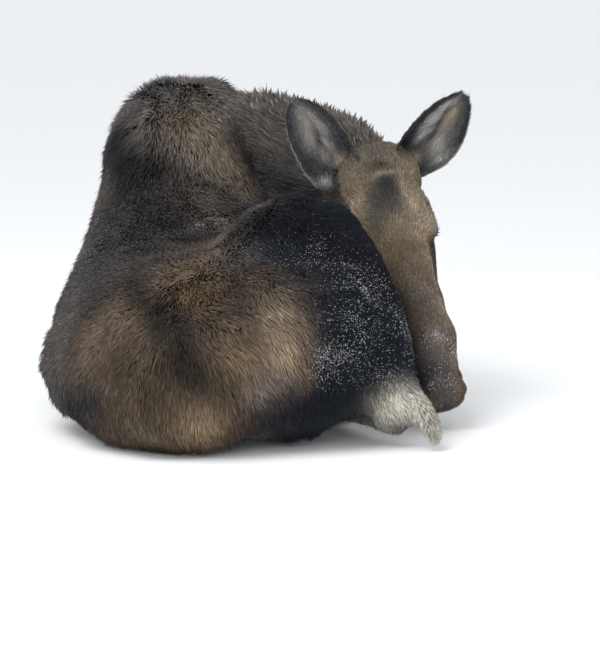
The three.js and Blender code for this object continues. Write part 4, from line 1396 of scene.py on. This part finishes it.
def add_relief(paint, shader, scale, detail, strength, distance):
    """A fine relief from a noise that is fixed to the piece. Returns the noise."""
    place = add_node(paint, "TexCoord")
    noise = add_node(paint, "TexNoise", Scale=scale, Detail=detail)
    bump = add_node(paint, "Bump", Strength=strength, Distance=distance)
    link(paint, place.outputs["Object"], noise.inputs["Vector"])
    link(paint, noise.outputs["Fac"], bump.inputs["Height"])
    link(paint, bump.outputs["Normal"], shader.inputs["Normal"])
    return noise


def skin_material():
    """Under-fur: the coat's own colour, darkened by painted shade where the coat lies over it, with a fine
    ruffled relief.
    """
    paint, shader, _ = painted("skin_fur", 0.85, 0.15)
    add_relief(paint, shader, 420, 4, 0.5, 0.001)
    return paint


def horn_material():
    """Dark horn, dull and finely mottled, with a low relief."""
    paint, shader, colour = painted("horn", 0.42, 0.4)
    noise = add_relief(paint, shader, 130, 6, 0.35, 0.0006)
    mix = paint.node_tree.nodes.new("ShaderNodeMix")
    mix.data_type, mix.blend_type = "RGBA", "MULTIPLY"
    mix.inputs["Factor"].default_value = 0.6
    link(paint, colour.outputs["Color"], mix.inputs["A"])
    link(paint, noise.outputs["Fac"], mix.inputs["B"])
    link(paint, mix.outputs["Result"], shader.inputs["Base Color"])
    return paint


def floor_material():
    paint, shader = new_material("floor_pale", 0.9, 0.1)
    shader.inputs["Base Color"].default_value = (0.86, 0.87, 0.88, 1)
    return paint


COAT_PAINT = painted("coat_hair", 0.72, 0.22)[0]
EYE_PAINT = painted("wet_eye", 0.06, 0.22)[0]
HORN_PAINT = horn_material()


# ---------------------------------------------------------------- camera, light and floor
def add_camera():
    data = bpy.data.cameras.new("camera")
    camera = bpy.data.objects.new("camera", data)
    bpy.context.scene.collection.objects.link(camera)
    data.sensor_width = 36
    data.lens = 177.84
    data.clip_end = 200
    camera.location = spot(0, -7500, 1362)
    camera.rotation_euler = (math.radians(82), 0, 0)
    bpy.context.scene.camera = camera


def add_light(name, place, aim, size, power):
    data = bpy.data.lights.new(name, "AREA")
    data.shape, data.size, data.energy = "DISK", size, power
    lamp = bpy.data.objects.new(name, data)
    bpy.context.scene.collection.objects.link(lamp)
    lamp.location = place
    lamp.rotation_euler = (Vector(aim) - Vector(place)).to_track_quat("-Z", "Y").to_euler()


def add_surroundings():
    bpy.ops.object.select_all(action="DESELECT")
    bpy.ops.mesh.primitive_plane_add(size=160)
    floor = bpy.context.object
    floor.name = "floor"
    floor.data.materials.append(floor_material())
    world = bpy.data.worlds.new("sky")
    bpy.context.scene.world = world
    world.use_nodes = True
    background = world.node_tree.nodes["Background"]
    background.inputs["Color"].default_value = (0.97, 0.985, 1.0, 1)
    background.inputs["Strength"].default_value = 1.0
    add_light("key", (-2.0, -2.5, 5.0), (0, 0, 0.3), 3.5, 190)
    add_light("fill", (-0.6, -4.6, 0.9), (0, 0, 0.3), 3.0, 105)
    bpy.context.scene.view_settings.view_transform = "Standard"


def finish_skin(skin):
    """Unwraps the skin, and lets it stand for all the flesh."""
    edit_all(skin, bpy.ops.uv.smart_project, angle_limit=1.15, island_margin=0.001)
    skin.data.uv_layers[0].name = "OFBake"
    skin.data.materials.clear()
    hand_over(skin, skin_material())
    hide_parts(*FLESH)


add_camera()
add_surroundings()
skin = build_skin()
finish_skin(skin)
ground = Skin(skin)
# the skin carries painted shade: the coat's colour darkened, as the coat lies over it
put_colour(skin.data, ground.colour * 0.6)
grow_coat(ground)
frost = frost_over(ground, FROST, FACE_FROST, least=0.0, space=0.0040)
grow_frost(ground, "frosted_hairs", frost, thick=(0.0011, 0.0020), glow=(0.45, 1.00))
down = frost_over(ground, FINE_FROST, [], least=0.006, space=0.0060)
grow_frost(ground, "frosted_down", down, thick=(0.0010, 0.0017), glow=(0.10, 0.50))
grow_ear_hair(ground)
grow_lashes()
make_eye(1, "eyeball_left", "eye_left")
make_eye(-1, "eyeball_right", "eye_right")
for foot in FEET:
    make_hooves(foot)
